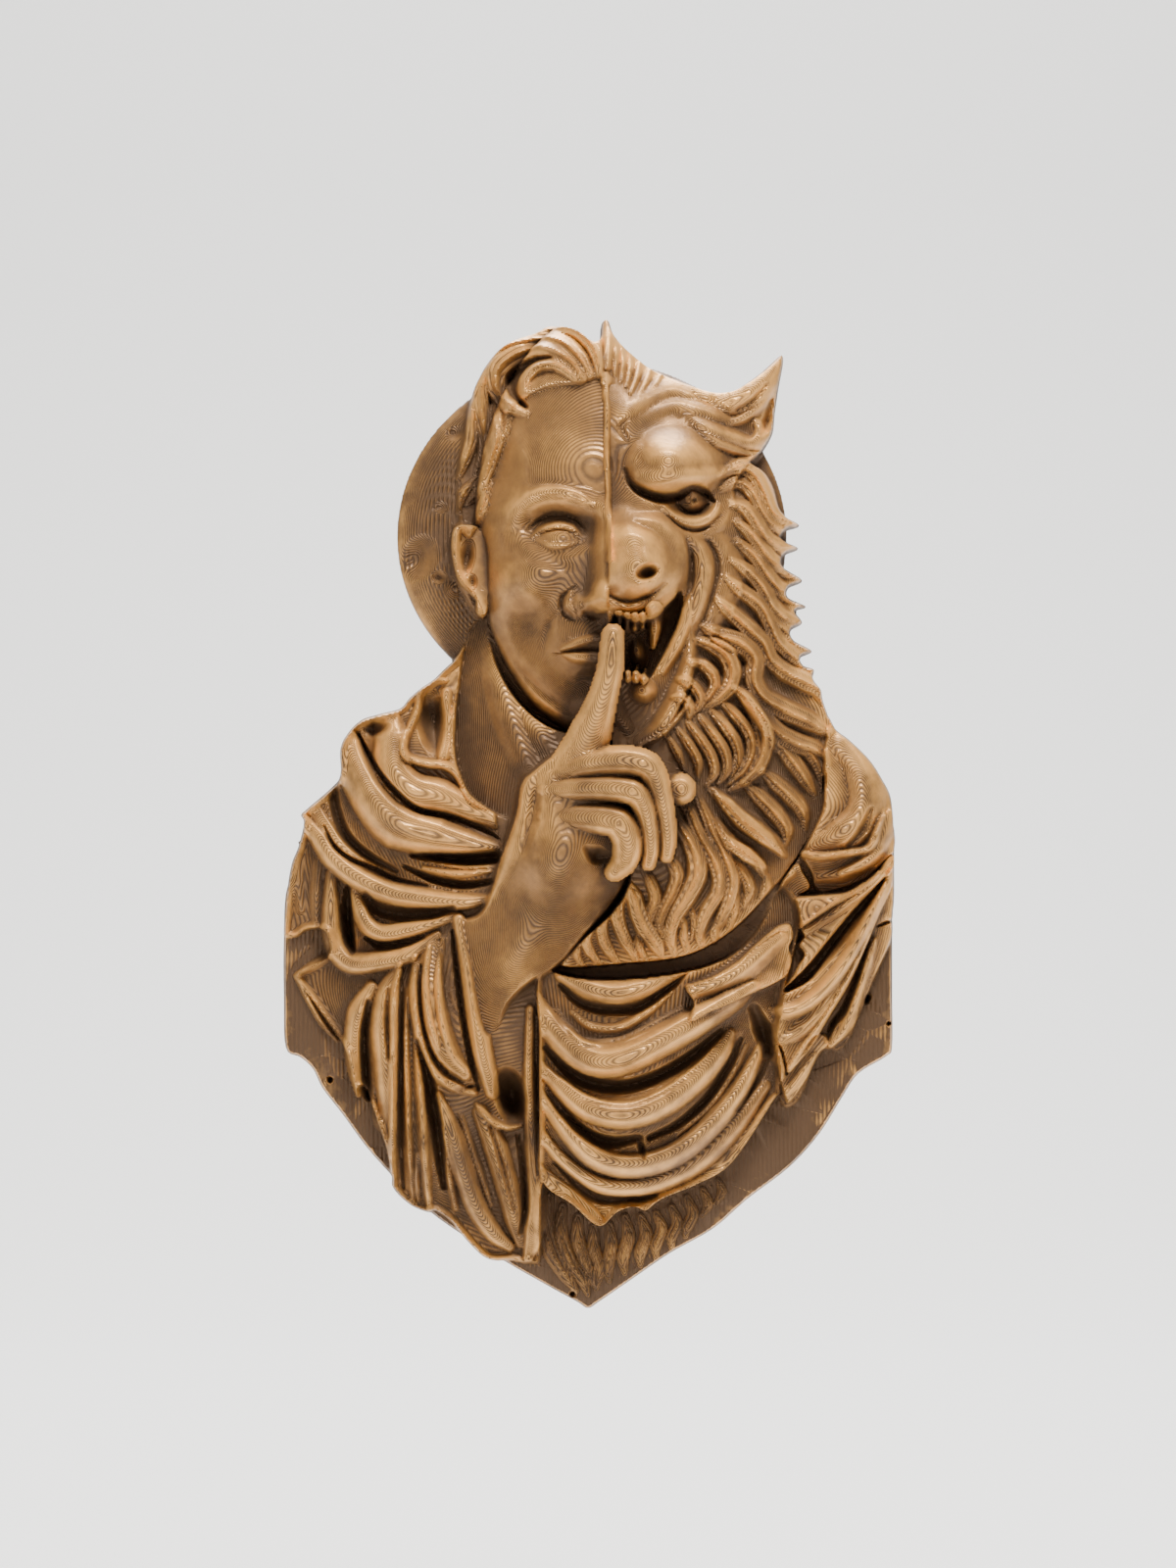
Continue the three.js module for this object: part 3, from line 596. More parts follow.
const CHEST_ROLLS = [
  [[2.2, 3, 3.2, 3, 2.7, 1.8], [3, 4.4, 4.8, 4.4, 4, 2.6], [[-6.5, -38.25], [0, -41.5], [7.25, -42.75],
    [15, -40.75], [23, -36.25], [36, -30]]],
  [[1.4, 2.8, 3.8, 4.5, 4.6, 4.4, 4.2, 3.4, 1.8], [1.6, 3.8, 5, 5.8, 6, 6, 5.6, 4.4, 2], [[-13.5, -43.5],
    [-11, -49], [-6.5, -55], [0, -59.5], [7.5, -59.75], [15.75, -56.5], [25.5, -51.5], [36, -45.5],
    [42, -41.5]]],
  [[1.2, 2.7, 3.5, 3.8, 3.8, 3.5, 2.9, 1.4], [1.6, 4, 5.2, 5.6, 5.6, 5, 4, 1.6], [[-12.75, -61],
    [-6.5, -67.5], [0.5, -72.5], [10, -74], [19, -71.25], [27, -65.75], [33.5, -59], [36.5, -53.5]]],
  [[1.1, 2.2, 2.8, 3.3, 3.5, 3.6, 3.6, 3.3, 2.9, 1.4], [1.6, 3.6, 4.4, 5, 5.2, 5.2, 5, 4.8, 4.4, 1.8], [
    [-13.25, -65], [-9.5, -72], [-4.5, -79], [1, -84.5], [7.5, -87], [15, -87], [23.5, -84],
    [31.75, -77.25], [38.75, -68.5], [44.5, -57]]],
  [[1.2, 2, 2.4, 2.6, 2.8, 3.2, 3, 1.6], [1.4, 2.6, 3, 3.2, 3.2, 3.2, 2.8, 1.4], [[-12.5, -78],
    [-7, -85.5], [1, -91.5], [9.25, -93.25], [18.25, -92], [28, -87.25], [37.5, -78.25], [45.5, -67.5]]],
  [[1.6, 2.6, 2.6, 1.4], [1.6, 2.6, 2.6, 1.4], [[-12.5, -88.5], [-6, -94.75], [0, -100], [3.5, -102.25]]],
  [[1, 1.8, 1.8, 1.8, 1.8, 1], [1, 1.8, 1.8, 1.8, 1.6, 0.8], [[9, -98], [16, -97.5], [24, -93.75],
    [32.5, -89], [40.5, -80.5], [47.5, -70.5]]],
];

const CHEST_RIDGES = [
  [[0.9, 1.2, 1.3, 1.2, 0.8], [1.2, 2.2, 2.4, 2.2, 1.2], [[1, -36.25], [10, -36.25], [18, -34],
    [26, -30.75], [36, -27]]],
  [[0.8, 1.1, 1.2, 1.2, 1.2, 0.8], [0.6, 1.1, 1.3, 1.3, 1.3, 0.7], [[-8.25, -47.5], [-4.5, -52],
    [-0.75, -55.25], [8, -54.75], [16.5, -51], [24, -47]]],
  [[0.8, 1.1, 1.2, 1.2, 1.1, 0.8], [0.5, 1, 1.2, 1.2, 1, 0.5], [[-7, -65], [0, -69.25], [10, -70.25],
    [19.25, -67], [28, -61], [33.5, -55]]],
  [[1, 1.5, 1.6, 1.5, 1], [0.8, 1.4, 1.6, 1.6, 0.8], [[-4, -48], [1, -51.5], [8.5, -51.5], [16, -47],
    [21, -42.5]]],
  [[0.8, 1.2, 1.2, 0.8], [0.6, 1.2, 1.2, 0.6], [[22.5, -79.5], [31, -72.5], [37, -64], [40.5, -56.5]]],
];

const WOLF_FORMS = [
  [[2.4, 3.6, 4.2, 4.2, 3.8, 2.2], [0.8, 2.2, 2.8, 3, 2.8, 1], [[11.25, 91.5], [13.25, 87.75],
    [18, 85.75], [24, 86.25], [29, 87.25], [33.75, 89.5]]],
  [[1.8, 2.4, 1.8], [0.5, 1, 0.4], [[12.75, 87], [11.25, 91], [12.5, 95]]],
  [[1.4, 2.2, 2.7, 2.5, 1.3], [0.8, 2.2, 2.8, 2.4, 0.8], [[19.5, 79.5], [22.5, 77.25], [26.5, 76],
    [30.5, 77.25], [33, 80.5]]],
  [[1.2, 1.8, 2, 1.8, 1], [0.3, 1, 1.2, 1, 0.3], [[19, 75.5], [23.5, 73.25], [28.5, 72.75], [33, 75],
    [35.5, 79]]],
  [[2.4, 3.4, 4, 4, 3.6, 2.2], [0.4, 1.6, 2.2, 2.4, 2, 0.6], [[12.5, 76.5], [18, 75.5], [22, 72.5],
    [23.75, 68], [23, 62.5], [20.5, 58.5]]],
  [[3, 4, 3], [0.8, 1.6, 0.8], [[5.5, 72], [10, 73], [15, 72]]],
  [[2.2, 2.8, 2.6, 1.4], [1.6, 2.6, 2.4, 0.8], [[5.5, 55.5], [10, 54], [14.5, 54.5], [18.5, 57]]],
  [[1.6, 3.2, 4, 4, 3.4, 1.4], [0.8, 2.6, 3.2, 3, 2.2, 0.6], [[25.25, 73.75], [28.5, 69.5], [29.75, 64.5],
    [29, 59], [27, 53], [24.75, 47.5]]],
  [[1.8, 3.8, 4.8, 4.8, 4.2, 2], [0.5, 1.8, 2.4, 2.4, 2.2, 0.8], [[30.5, 74.25], [34.5, 70],
    [36.25, 64.5], [35, 58.5], [32.75, 52.5], [29.5, 47]]],
  [[1.2, 2.2, 2.4, 1.4], [1, 2.4, 2.8, 1], [[25.75, 60], [25.5, 53], [23, 45.75], [19, 38.5]]],
  [[1.6, 2.8, 3.8, 4, 2.4], [1, 3, 4, 3.8, 1.4], [[26, 48], [25.5, 40.5], [23.25, 33], [19.25, 25],
    [13.5, 20.5]]],
  [[2, 3, 2], [1, 1.6, 1], [[6.5, 33.5], [7, 28.5], [10, 24]]],
];

const MANE_LOCKS = [
  [[1, 2.8, 3.4, 3.3, 3.1, 3.2, 3.4, 3, 1.2], [1, 4, 5.2, 5, 4.6, 4.6, 4.6, 3.6, 1.2], [[29, 50],
    [34, 47.5], [39, 45.75], [42.5, 42], [42.25, 36.5], [44.5, 32.25], [49.75, 29], [56, 26.25],
    [61.5, 23]]],
  [[1, 2.4, 2.9, 2.9, 2.7, 2.8, 2.8, 2.4, 1], [1, 3.6, 4.6, 4.4, 4.2, 4, 3.6, 2.8, 1], [[32.5, 57],
    [36.5, 53.5], [41, 49.5], [44.75, 46], [46.75, 41.75], [50.75, 38.5], [55.75, 36], [59.75, 33.5],
    [62, 28]]],
  [[1, 2.3, 2.8, 2.8, 2.6, 2.3, 0.8], [1, 3.2, 4.2, 4, 3.6, 2.8, 0.8], [[35, 62.5], [39.5, 59],
    [44.25, 55.5], [46.75, 50.5], [49, 46], [52.75, 42.5], [58, 39.25]]],
  [[1, 2.3, 2.8, 2.7, 2.2, 0.6], [1, 3.2, 4, 3.6, 3, 0.8], [[36.5, 67], [41, 64.25], [45, 59.75],
    [47.5, 55], [51, 52.25], [56, 50.75]]],
  [[1, 2, 2.3, 1.8, 0.4], [1, 2.6, 2.8, 2, 0.6], [[44, 55.5], [48, 51.5], [51.5, 48.5], [55, 46.75],
    [57.75, 44.5]]],
  [[1, 2.3, 2.8, 2.5, 1.9, 0.5], [1, 3.2, 4, 3.6, 2.6, 0.6], [[37.5, 72], [42, 68.75], [45.75, 63.75],
    [49, 60], [52.5, 58], [55.75, 56]]],
  [[1, 2.4, 2.8, 2.5, 2, 0.5], [1, 3.2, 4, 3.6, 2.6, 0.6], [[37.5, 76.75], [42, 73.5], [45.25, 69.25],
    [48.25, 66.25], [52, 64.75], [55.25, 62.75]]],
  [[1, 2.2, 2.6, 2.5, 2.1, 0.4], [1, 3, 3.8, 3.4, 2.6, 0.6], [[36, 81.5], [40, 80.5], [43.25, 76.5],
    [46, 72.75], [49.5, 71], [54.25, 70.5]]],
  [[1, 2.1, 2.4, 2.2, 1.9, 1.4, 0.4], [1, 2.8, 3.4, 3.2, 2.6, 1.6, 0.5], [[34, 85], [38.5, 87],
    [42, 84.5], [44.25, 80], [47, 76.5], [50.5, 74.75], [53.5, 74.25]]],
  [[1, 2.4, 2.8, 2.6, 2.2, 1.4, 0.3], [1, 3.8, 4.4, 4, 3.4, 2.2, 0.5], [[33.5, 88.25], [38.25, 90.75],
    [42.5, 89], [45.25, 84.25], [47.25, 79.75], [51, 77.25], [54.75, 76.5]]],
  [[1, 2.6, 3.2, 3.2, 3.2, 2.6, 1], [1, 3.4, 4.2, 4.2, 4, 3.2, 1], [[37, 34.5], [41, 31.75], [44.5, 27.5],
    [48.5, 23], [53.5, 20.25], [58.5, 18.5], [61.25, 15]]],
  [[1, 2.3, 2.8, 2.3, 0.8], [1, 2.8, 3.4, 2.8, 0.8], [[45.5, 22.5], [49, 19.5], [52.5, 15.5],
    [55.5, 11.25], [58, 7]]],
  [[0.8, 1.7, 2.1, 1.8, 0.8], [0.8, 2.2, 2.6, 2.2, 0.8], [[48, 25.5], [53, 21.5], [57, 17.5], [59.5, 13],
    [60, 8.5]]],
  [[1, 2.3, 2.6, 2.2, 0.8], [1, 2.8, 3.4, 2.8, 0.8], [[43.5, 14], [47.5, 10.5], [51.75, 6.75], [54.75, 3],
    [55.5, -1.5]]],
  [[1, 2.4, 2.7, 2.2, 0.8], [1, 3, 3.6, 3, 0.8], [[39.25, 10.5], [43.5, 6.75], [47.75, 2.5], [50.5, -1.5],
    [50.25, -5.5]]],
  [[1, 2.4, 2.7, 2.3, 0.8], [1, 3.2, 3.8, 3, 1], [[32, 8.5], [35.75, 4.5], [40.25, 0], [45.5, -4.25],
    [49.5, -8.25]]],
  [[1, 2.3, 2.4, 0.8], [1, 3, 3.2, 1], [[32.5, 1], [35.75, -4], [40, -7.75], [45, -11]]],
];

const NECK_MUSCLES = [
  [[3, 4.6, 5, 4.6, 3], [0.4, 1.6, 2, 1.6, 0.5], [[-25, 45], [-23, 35], [-20, 25], [-16.5, 16],
    [-13, 7]]],
  [[3, 4, 2.6], [0.4, 1.2, 0.4], [[-17.5, 29], [-12.5, 22], [-7, 15.5]]],
];

const HAND_FORMS = [
  [[2.6, 3.4, 3.4, 3.4, 2.6], [0.8, 1.6, 1.4, 1.2, 0.5], [[-15, 12.5], [-16.5, 6], [-18, -1.5],
    [-20.75, -10], [-24.5, -19.5]]],
  [[3, 4, 3], [0.5, 1, 0.3], [[-10.5, 11], [-10, 5], [-9, -1.5]]],
];

const HAND_CREASES = [
  [[1.6, 2.4, 1.4], [0.5, 1.1, 0.3], [[-12.75, 8.5], [-14, 1], [-16.25, -7]]],
  [[1.8, 3, 2], [1.4, 3.6, 2], [[0, -6.5], [2.25, -8], [4.5, -8.25]]],
  [[0.9, 0.7], [0.6, 0.4], [[4.25, 36.5], [7, 36]]],
];

const WEDGE_FUR = [
  [[1.4, 2.2, 2.4, 2, 0.8], [0.8, 1.8, 2, 1.6, 0.5], [[-10, -96.5], [-11, -103], [-9.5, -110], [-6, -116],
    [-3, -120.5]]],
  [[1.2, 1.9, 2, 1.6, 0.7], [0.8, 1.6, 1.8, 1.4, 0.5], [[-6.5, -99], [-7, -105.5], [-5, -112],
    [-1.5, -117.5], [0, -121.5]]],
  [[1.2, 1.9, 1.9, 0.8], [0.8, 1.6, 1.6, 0.5], [[-2.5, -101.5], [-2.5, -107.5], [-0.5, -113.5],
    [1.5, -119]]],
  [[1.1, 1.7, 1.7, 0.7], [0.8, 1.6, 1.6, 0.5], [[1.5, -104], [1.5, -109.5], [3, -114.5], [2, -120]]],
  [[1.1, 1.8, 1.8, 0.7], [0.8, 1.6, 1.6, 0.5], [[5.5, -103.5], [6, -109], [5, -114], [5.5, -118]]],
  [[1.1, 1.8, 1.8, 0.7], [0.8, 1.6, 1.6, 0.5], [[9.5, -101.5], [10.5, -106.5], [9, -111.5], [9.5, -116]]],
  [[1.1, 1.7, 1.7, 0.7], [0.8, 1.6, 1.6, 0.5], [[13.5, -101.5], [15, -106], [13.5, -110.5],
    [13.5, -114]]],
  [[1, 1.6, 1.6, 0.7], [0.8, 1.5, 1.5, 0.5], [[17.5, -100.5], [19, -104.5], [17.5, -108.5],
    [17.5, -112]]],
  [[1, 1.5, 1.5, 0.7], [0.8, 1.4, 1.4, 0.5], [[21.5, -99], [23, -103], [21.5, -106.5], [21.5, -109.5]]],
  [[1, 1.5, 1.5, 0.7], [0.8, 1.4, 1.4, 0.5], [[25.5, -96.5], [27, -100.5], [25.5, -104], [25, -106.5]]],
  [[0.9, 1.3, 0.7], [0.7, 1.3, 0.5], [[29.5, -94.5], [31, -98], [29.5, -101]]],
  [[0.8, 1.2, 0.6], [0.6, 1.1, 0.4], [[33.5, -92], [34.5, -95], [33, -98]]],
];

const RIGHT_SLITS = [
  [[1.2, 2.4, 2.6, 2.4, 2, 1], [1.4, 3.2, 3.6, 3.2, 2.6, 1], [[50, -43], [56.5, -38.5], [61.5, -32.5],
    [66.5, -26], [71.5, -20], [76, -14.5]]],
  [[0.8, 1.2, 1.3, 1.2, 1, 0.6], [1.4, 3, 3.2, 3, 2.4, 1], [[61.5, -55.5], [63, -51.5], [65.75, -48],
    [68.25, -42.25], [70, -36.5], [72, -31]]],
  [[0.7, 1, 0.7], [1.4, 2.4, 1.4], [[71, -15], [75, -11.5], [78.25, -8]]],
  [[0.6, 0.8, 0.8], [1.4, 2.2, 2.2], [[74.5, -26.5], [76.5, -25.75], [78.75, -25]]],
  [[1, 1.8, 1.2], [1.2, 2.6, 1.2], [[66.5, -5.5], [70, -1.5], [72, 3.5]]],
];

const BODY_OUTLINE = [
  [-20, 50], [25, 50], [60, 20], [50, -15], [35, -35], [0, -40], [-15, -30], [-25, 10],
];

// Height field

const SIDE = CELLS + 1;
const height = new Float64Array(SIDE * SIDE).fill(RIM_DEPTH);

function change(next) {
  for (let j = 0; j < SIDE; j++) {
    for (let i = 0; i < SIDE; i++) {
      const k = j * SIDE + i;
      height[k] = next(height[k], LEFT_EDGE + i * CELL, BOTTOM_EDGE + j * CELL, k);
    }
  }
}

function smooth(t) {
  return THREE.MathUtils.smoothstep(t, 0, 1);
}

// A value of a short list of stations, at a share t of the way along it
function along(stations, t) {
  const place = t * (stations.length - 1);
  const k = Math.min(Math.floor(place), stations.length - 2);
  if (stations.length === 1) return stations[0];
  return THREE.MathUtils.lerp(stations[k], stations[k + 1], place - k);
}

const round = (u) => Math.sqrt(Math.max(0, 1 - u * u));
const fold = (u) => Math.max(0, 1 - u * u);
const soft = (u) => fold(u) ** 2;
const roll = (u) => fold(u) ** 0.7;
const strands = (u) => fold(u) * (1 - 0.3 * Math.abs(Math.sin(1.5 * Math.PI * u)));

// The height above its surroundings of the highest of several strokes, each a line with
// half widths and rises along it
function strokeField(strokes, profile) {
  const field = new Float64Array(SIDE * SIDE);
  for (const [widths, rises, points] of strokes) {
    const curve = new THREE.SplineCurve(points.map(([x, z]) => new THREE.Vector2(x, z)));
    const steps = STROKE_STEPS * (points.length - 1);
    const line = curve.getPoints(steps);
    const reach = Math.max(...widths);
    const nearest = new Map();
    for (let s = 0; s < steps; s++) {
      const a = line[s];
      const b = line[s + 1];
      const firstColumn = Math.ceil((Math.min(a.x, b.x) - reach - LEFT_EDGE) / CELL);
      const lastColumn = Math.floor((Math.max(a.x, b.x) + reach - LEFT_EDGE) / CELL);
      const firstRow = Math.ceil((Math.min(a.y, b.y) - reach - BOTTOM_EDGE) / CELL);
      const lastRow = Math.floor((Math.max(a.y, b.y) + reach - BOTTOM_EDGE) / CELL);
      for (let j = Math.max(0, firstRow); j <= Math.min(CELLS, lastRow); j++) {
        for (let i = Math.max(0, firstColumn); i <= Math.min(CELLS, lastColumn); i++) {
          const x = LEFT_EDGE + i * CELL;
          const z = BOTTOM_EDGE + j * CELL;
          const share = shareAlong(x, z, a, b);
          const t = (s + share) / steps;
          const away = Math.hypot(x - a.x - share * (b.x - a.x), z - a.y - share * (b.y - a.y));
          const u = away / along(widths, t);
          const k = j * SIDE + i;
          if (u < 1 && (!nearest.has(k) || u < nearest.get(k)[0])) nearest.set(k, [u, along(rises, t)]);
        }
      }
    }
    for (const [k, [u, rise]] of nearest) field[k] = Math.max(field[k], profile(u) * rise);
  }
  return field;
}

function shareAlong(x, z, a, b) {
  const dx = b.x - a.x;
  const dz = b.y - a.y;
  return THREE.MathUtils.clamp(((x - a.x) * dx + (z - a.y) * dz) / (dx * dx + dz * dz + TINY), 0, 1);
}

// How far inside a smooth closed outline each grid point lies, negative outside it
function insideField(outline) {
  const corners = outline.map(([x, z]) => new THREE.Vector3(x, z, 0));
  const curve = new THREE.CatmullRomCurve3(corners, true, 'catmullrom', 0.5);
  const line = curve.getPoints(EDGE_STEPS * corners.length);
  const field = new Float64Array(SIDE * SIDE);
  for (let j = 0; j < SIDE; j++) {
    for (let i = 0; i < SIDE; i++) {
      const x = LEFT_EDGE + i * CELL;
      const z = BOTTOM_EDGE + j * CELL;
      let best = Infinity;
      let odd = false;
      for (let s = 0; s + 1 < line.length; s++) {
        const a = line[s];
        const b = line[s + 1];
        const share = shareAlong(x, z, a, b);
        best = Math.min(best, Math.hypot(x - a.x - share * (b.x - a.x), z - a.y - share * (b.y - a.y)));
        if ((a.y > z) !== (b.y > z) && x < a.x + (z - a.y) * (b.x - a.x) / (b.y - a.y)) odd = !odd;
      }
      field[j * SIDE + i] = odd ? best : -best;
    }
  }
  return field;
}

// A thin plate through [x, z, height] points, as a function of x and z
function plate(points) {
  const n = points.length;
  const kernel = (x, z) => (x * x + z * z) * Math.log(x * x + z * z + TINY);
  const rows = [];
  for (const [x, z, value] of points) {
    rows.push([...points.map(([px, pz]) => kernel(x - px, z - pz)), 1, x, z, value]);
  }
  rows.push([...points.map(() => 1), 0, 0, 0, 0]);
  rows.push([...points.map(([px]) => px), 0, 0, 0, 0]);
  rows.push([...points.map(([, pz]) => pz), 0, 0, 0, 0]);
  for (let c = 0; c < n + 3; c++) {
    let pivot = c;
    for (let r = c + 1; r < n + 3; r++) if (Math.abs(rows[r][c]) > Math.abs(rows[pivot][c])) pivot = r;
    [rows[c], rows[pivot]] = [rows[pivot], rows[c]];
    for (let r = 0; r < n + 3; r++) {
      if (r === c) continue;
      const ratio = rows[r][c] / rows[c][c];
      for (let k = c; k <= n + 3; k++) rows[r][k] -= ratio * rows[c][k];
    }
  }
  const weights = rows.map((row, c) => row[n + 3] / row[c]);
  return (x, z) => {
    let sum = weights[n] + weights[n + 1] * x + weights[n + 2] * z;
    for (let k = 0; k < n; k++) sum += weights[k] * kernel(x - points[k][0], z - points[k][1]);
    return sum;
  };
}

// A soft mound to add, or with a negative rise a hollow
function swell(x, z, cx, cz, radiusX, radiusZ, rise, degrees = 0) {
  const turn = THREE.MathUtils.degToRad(degrees);
  const u = ((x - cx) * Math.cos(turn) + (z - cz) * Math.sin(turn)) / radiusX;
  const v = ((z - cz) * Math.cos(turn) - (x - cx) * Math.sin(turn)) / radiusZ;
  return rise * Math.max(0, 1 - u * u - v * v) ** 2;
}

function swells(list) {
  change((h, x, z) => list.reduce((sum, mound) => sum + swell(x, z, ...mound), h));
}

function lay(inside, surface, edge = SHEET_EDGE) {
  change((h, x, z, k) => THREE.MathUtils.lerp(h, surface(x, z), smooth(inside[k] / edge)));
}

function carve(strokes, profile = fold, sign = 1, inside = null) {
  const field = strokeField(strokes, profile);
  change((h, x, z, k) => h + sign * field[k] * (inside ? smooth(inside[k]) : 1));
}

function flaps(list, edge = FLAP_EDGE) {
  for (const [, [rise], outline] of list) {
    const inside = insideField(outline);
    change((h, x, z, k) => h + rise * smooth(inside[k] / edge + 0.5));
  }
}

// Round bars whose crest heights are given, and whose sides fall by a drop
function bars(list, drop) {
  for (const [widths, crests, points] of list) {
    const rise = strokeField([[widths, [1], points]], round);
    const crest = strokeField([[widths, crests, points]], () => 1);
    change((h, x, z, k) => (crest[k] > 0 ? Math.max(h, crest[k] - drop + drop * rise[k]) : h));
  }
}

const FACE_STROKES = [
  [1, soft, FACE_RIDGES], [1, soft, NOSE], [1, fold, LIDS_AND_LIPS], [-1, soft, FACE_CREASES],
];

// The shield and the moon
const shieldInside = insideField(SHIELD_OUTLINE);
lay(shieldInside, () => SHIELD_DEPTH);
change((h, x, z) => {
  const r = Math.hypot((x - MOON.x) / MOON.radiusX, (z - MOON.z) / MOON.radiusZ);
  return r < 1 ? Math.max(h, MOON.rim + MOON.bulge * round(r)) : h;
});
swells(CRATERS);
carve(WEDGE_FUR, strands);

// The cloak over the left shoulder, with the sleeve and the robe's fall
const leftInside = insideField(LEFT_CLOAK_OUTLINE);
lay(leftInside, plate(LEFT_CLOAK_SHEET));
change((h, x, z, k) => h - FOLD_SINK * smooth(leftInside[k] / FOLD_REACH));
carve(LEFT_ROLLS, roll);
carve(LEFT_RIDGES, soft);
carve(LEFT_SLITS, soft, -1);
carve(COLLAR);
swells(CLOAK_HOLLOWS);

// The cloak over the right shoulder, with its torn edges
const rightInside = insideField(RIGHT_CLOAK_OUTLINE);
lay(rightInside, plate(RIGHT_CLOAK_SHEET));
flaps(CLOAK_RIGHT_GAP, GAP_EDGE);
carve(CLOAK_RIGHT_FOLDS);
flaps(CLOAK_RIGHT_FLAPS);
carve(RIGHT_SLITS, soft, -1);

// The cloth across the chest
const chestInside = insideField(CHEST_OUTLINE);
lay(chestInside, plate(CHEST_SHEET));
change((h, x, z, k) => h - FOLD_SINK * smooth(chestInside[k] / FOLD_REACH));
carve(CHEST_ROLLS, roll, 1, chestInside);
carve(CHEST_RIDGES, soft, 1, chestInside);
carve(CHEST_SLITS, soft, -1, chestInside);
flaps(CHEST_FLAP);
carve(CLOAK_RIGHT_RIDGES, soft);

// The neck, and the beard and mane
lay(insideField(BODY_OUTLINE), () => BODY_DEPTH);
lay(insideField(NECK_OUTLINE), plate(NECK_SHEET));
carve(NECK_MUSCLES, soft);
lay(insideField(MANE_OUTLINE), plate(MANE_SHEET));
carve(BEARD, strands);

// The human half of the head
const headInside = insideField(HEAD_OUTLINE);
const faceFields = FACE_STROKES.map(([sign, profile, strokes]) => {
  const field = strokeField(strokes, profile);
  return field.map((rise) => sign * rise);
});
const humanHalf = new Float64Array(SIDE * SIDE);
change((h, x, z, k) => {
  const u = Math.min(0, x - SKULL.x) / SKULL.radiusX;
  const v = (z - SKULL.z) / SKULL.radiusZ;
  humanHalf[k] = SKULL.rim + SKULL.bulge * round(Math.min(1, Math.hypot(u, v)));
  humanHalf[k] += FACE_SWELLS.reduce((sum, mound) => sum + swell(x, z, ...mound), 0);
  humanHalf[k] += faceFields.reduce((sum, field) => sum + field[k], 0);
  return THREE.MathUtils.lerp(h, humanHalf[k], smooth(headInside[k] / SHEET_EDGE));
});
lay(insideField(EAR_OUTLINE), () => EAR_DEPTH);
carve(EAR_RIDGES);
swells(EAR_HOLLOWS);
const hairInside = insideField(HAIR_OUTLINE);
change((h, x, z, k) => h + HAIR_RISE * smooth(hairInside[k] / HAIR_RISE + HAIR_LEAN));
carve(HAIR_LOCKS, strands);
carve(HAIR_HOLLOW, soft, -1);

// The wolf half of the head
const wolfInside = insideField(WOLF_OUTLINE);
const wolfPlate = plate(WOLF_SHEET);
lay(wolfInside, (x, z) => WOLF_SWELLS.reduce((sum, mound) => sum + swell(x, z, ...mound), wolfPlate(x, z)));
const wolfReach = wolfInside.map((inside) => inside + CHEEK_REACH);
carve(WOLF_FORMS, soft, 1, wolfReach);
carve(WOLF_RIDGES, fold, 1, wolfReach);
carve(WOLF_CREASES, soft, -1, wolfInside);
swells(WOLF_HOLLOWS);
const mouthInside = insideField(MOUTH_OUTLINE);
change((h, x, z, k) => h - MOUTH_DEPTH * smooth(mouthInside[k] / MOUTH_EDGE));
carve(TEETH, round, TOOTH_LENGTH);
swells(JAW_SWELLS);
carve(SEAM, round);

// The mane's locks, which spring from the cheek
carve(MANE_LOCKS, strands);
carve(MANE_CURLS, strands);

// The hand, with the finger at the lips
lay(insideField(HAND_OUTLINE), plate(HAND_SHEET), HAND_EDGE);
swells(HAND_SWELLS);
carve(HAND_FORMS, soft);
carve(HAND_CREASES, soft, -1);
bars(THUMB, FINGER_DROP);
bars(FINGERS, FINGER_DROP);

// Facets can't follow the finest lines, so those are worn soft
for (let pass = 0; pass < SOFTENING_PASSES; pass++) {
  for (const step of [1, SIDE]) {
    const before = height.slice();
    for (let k = SIDE; k < SIDE * CELLS; k++) {
      height[k] = (before[k - step] + 2 * before[k] + before[k + step]) / 4;
    }
  }
}

// The outline of the whole piece, as one prism through the relief

function toSolid(geometry) {
  geometry.deleteAttribute('normal');
  geometry.deleteAttribute('uv');
  const merged = mergeVertices(geometry, SAME_POINT);
  const vertProperties = Float32Array.from(merged.attributes.position.array);
  const triVerts = Uint32Array.from(merged.index.array);
  return new wasm.Manifold(new wasm.Mesh({ numProp: 3, vertProperties, triVerts }));
}

function prism(points, depth) {
  const shape = new THREE.Shape(points.map(([x, z]) => new THREE.Vector2(x, z)));
  const geometry = new THREE.ExtrudeGeometry(shape, { depth, bevelEnabled: false });
  return toSolid(geometry.rotateX(Math.PI / 2).translate(0, PRISM_MARGIN, 0));
}

function rounded(outline) {
  const corners = outline.map(([x, z]) => new THREE.Vector3(x, z, 0));
  const curve = new THREE.CatmullRomCurve3(corners, true, 'catmullrom', 0.5);
  return curve.getPoints(PRISM_STEPS * corners.length).slice(0, -1).map((p) => [p.x, p.y]);
}

function moonOutline() {
  return Array.from({ length: MOON_SIDES }, (_, k) => {
    const turn = 2 * Math.PI * k / MOON_SIDES;
    return [MOON.x + MOON.radiusX * Math.cos(turn), MOON.z + MOON.radiusZ * Math.sin(turn)];
  });
}

// Carries the height of the last points inside the outline past it, so that the cut has a clean wall
function spillOver(insides) {
  let known = height.map((_, k) => (insides.some((inside) => inside[k] > 0) ? 1 : 0));
  for (let pass = 0; pass < SPILL_PASSES; pass++) {
    const next = Float64Array.from(known);
    for (let j = 1; j < CELLS; j++) {
      for (let i = 1; i < CELLS; i++) {
        const k = j * SIDE + i;
        const near = [k - 1, k + 1, k - SIDE, k + SIDE].filter((n) => known[n]);
        if (known[k] || near.length === 0) continue;
        height[k] = near.reduce((sum, n) => sum + height[n], 0) / near.length;
        next[k] = 1;
      }
    }
    known = next;
  }
}

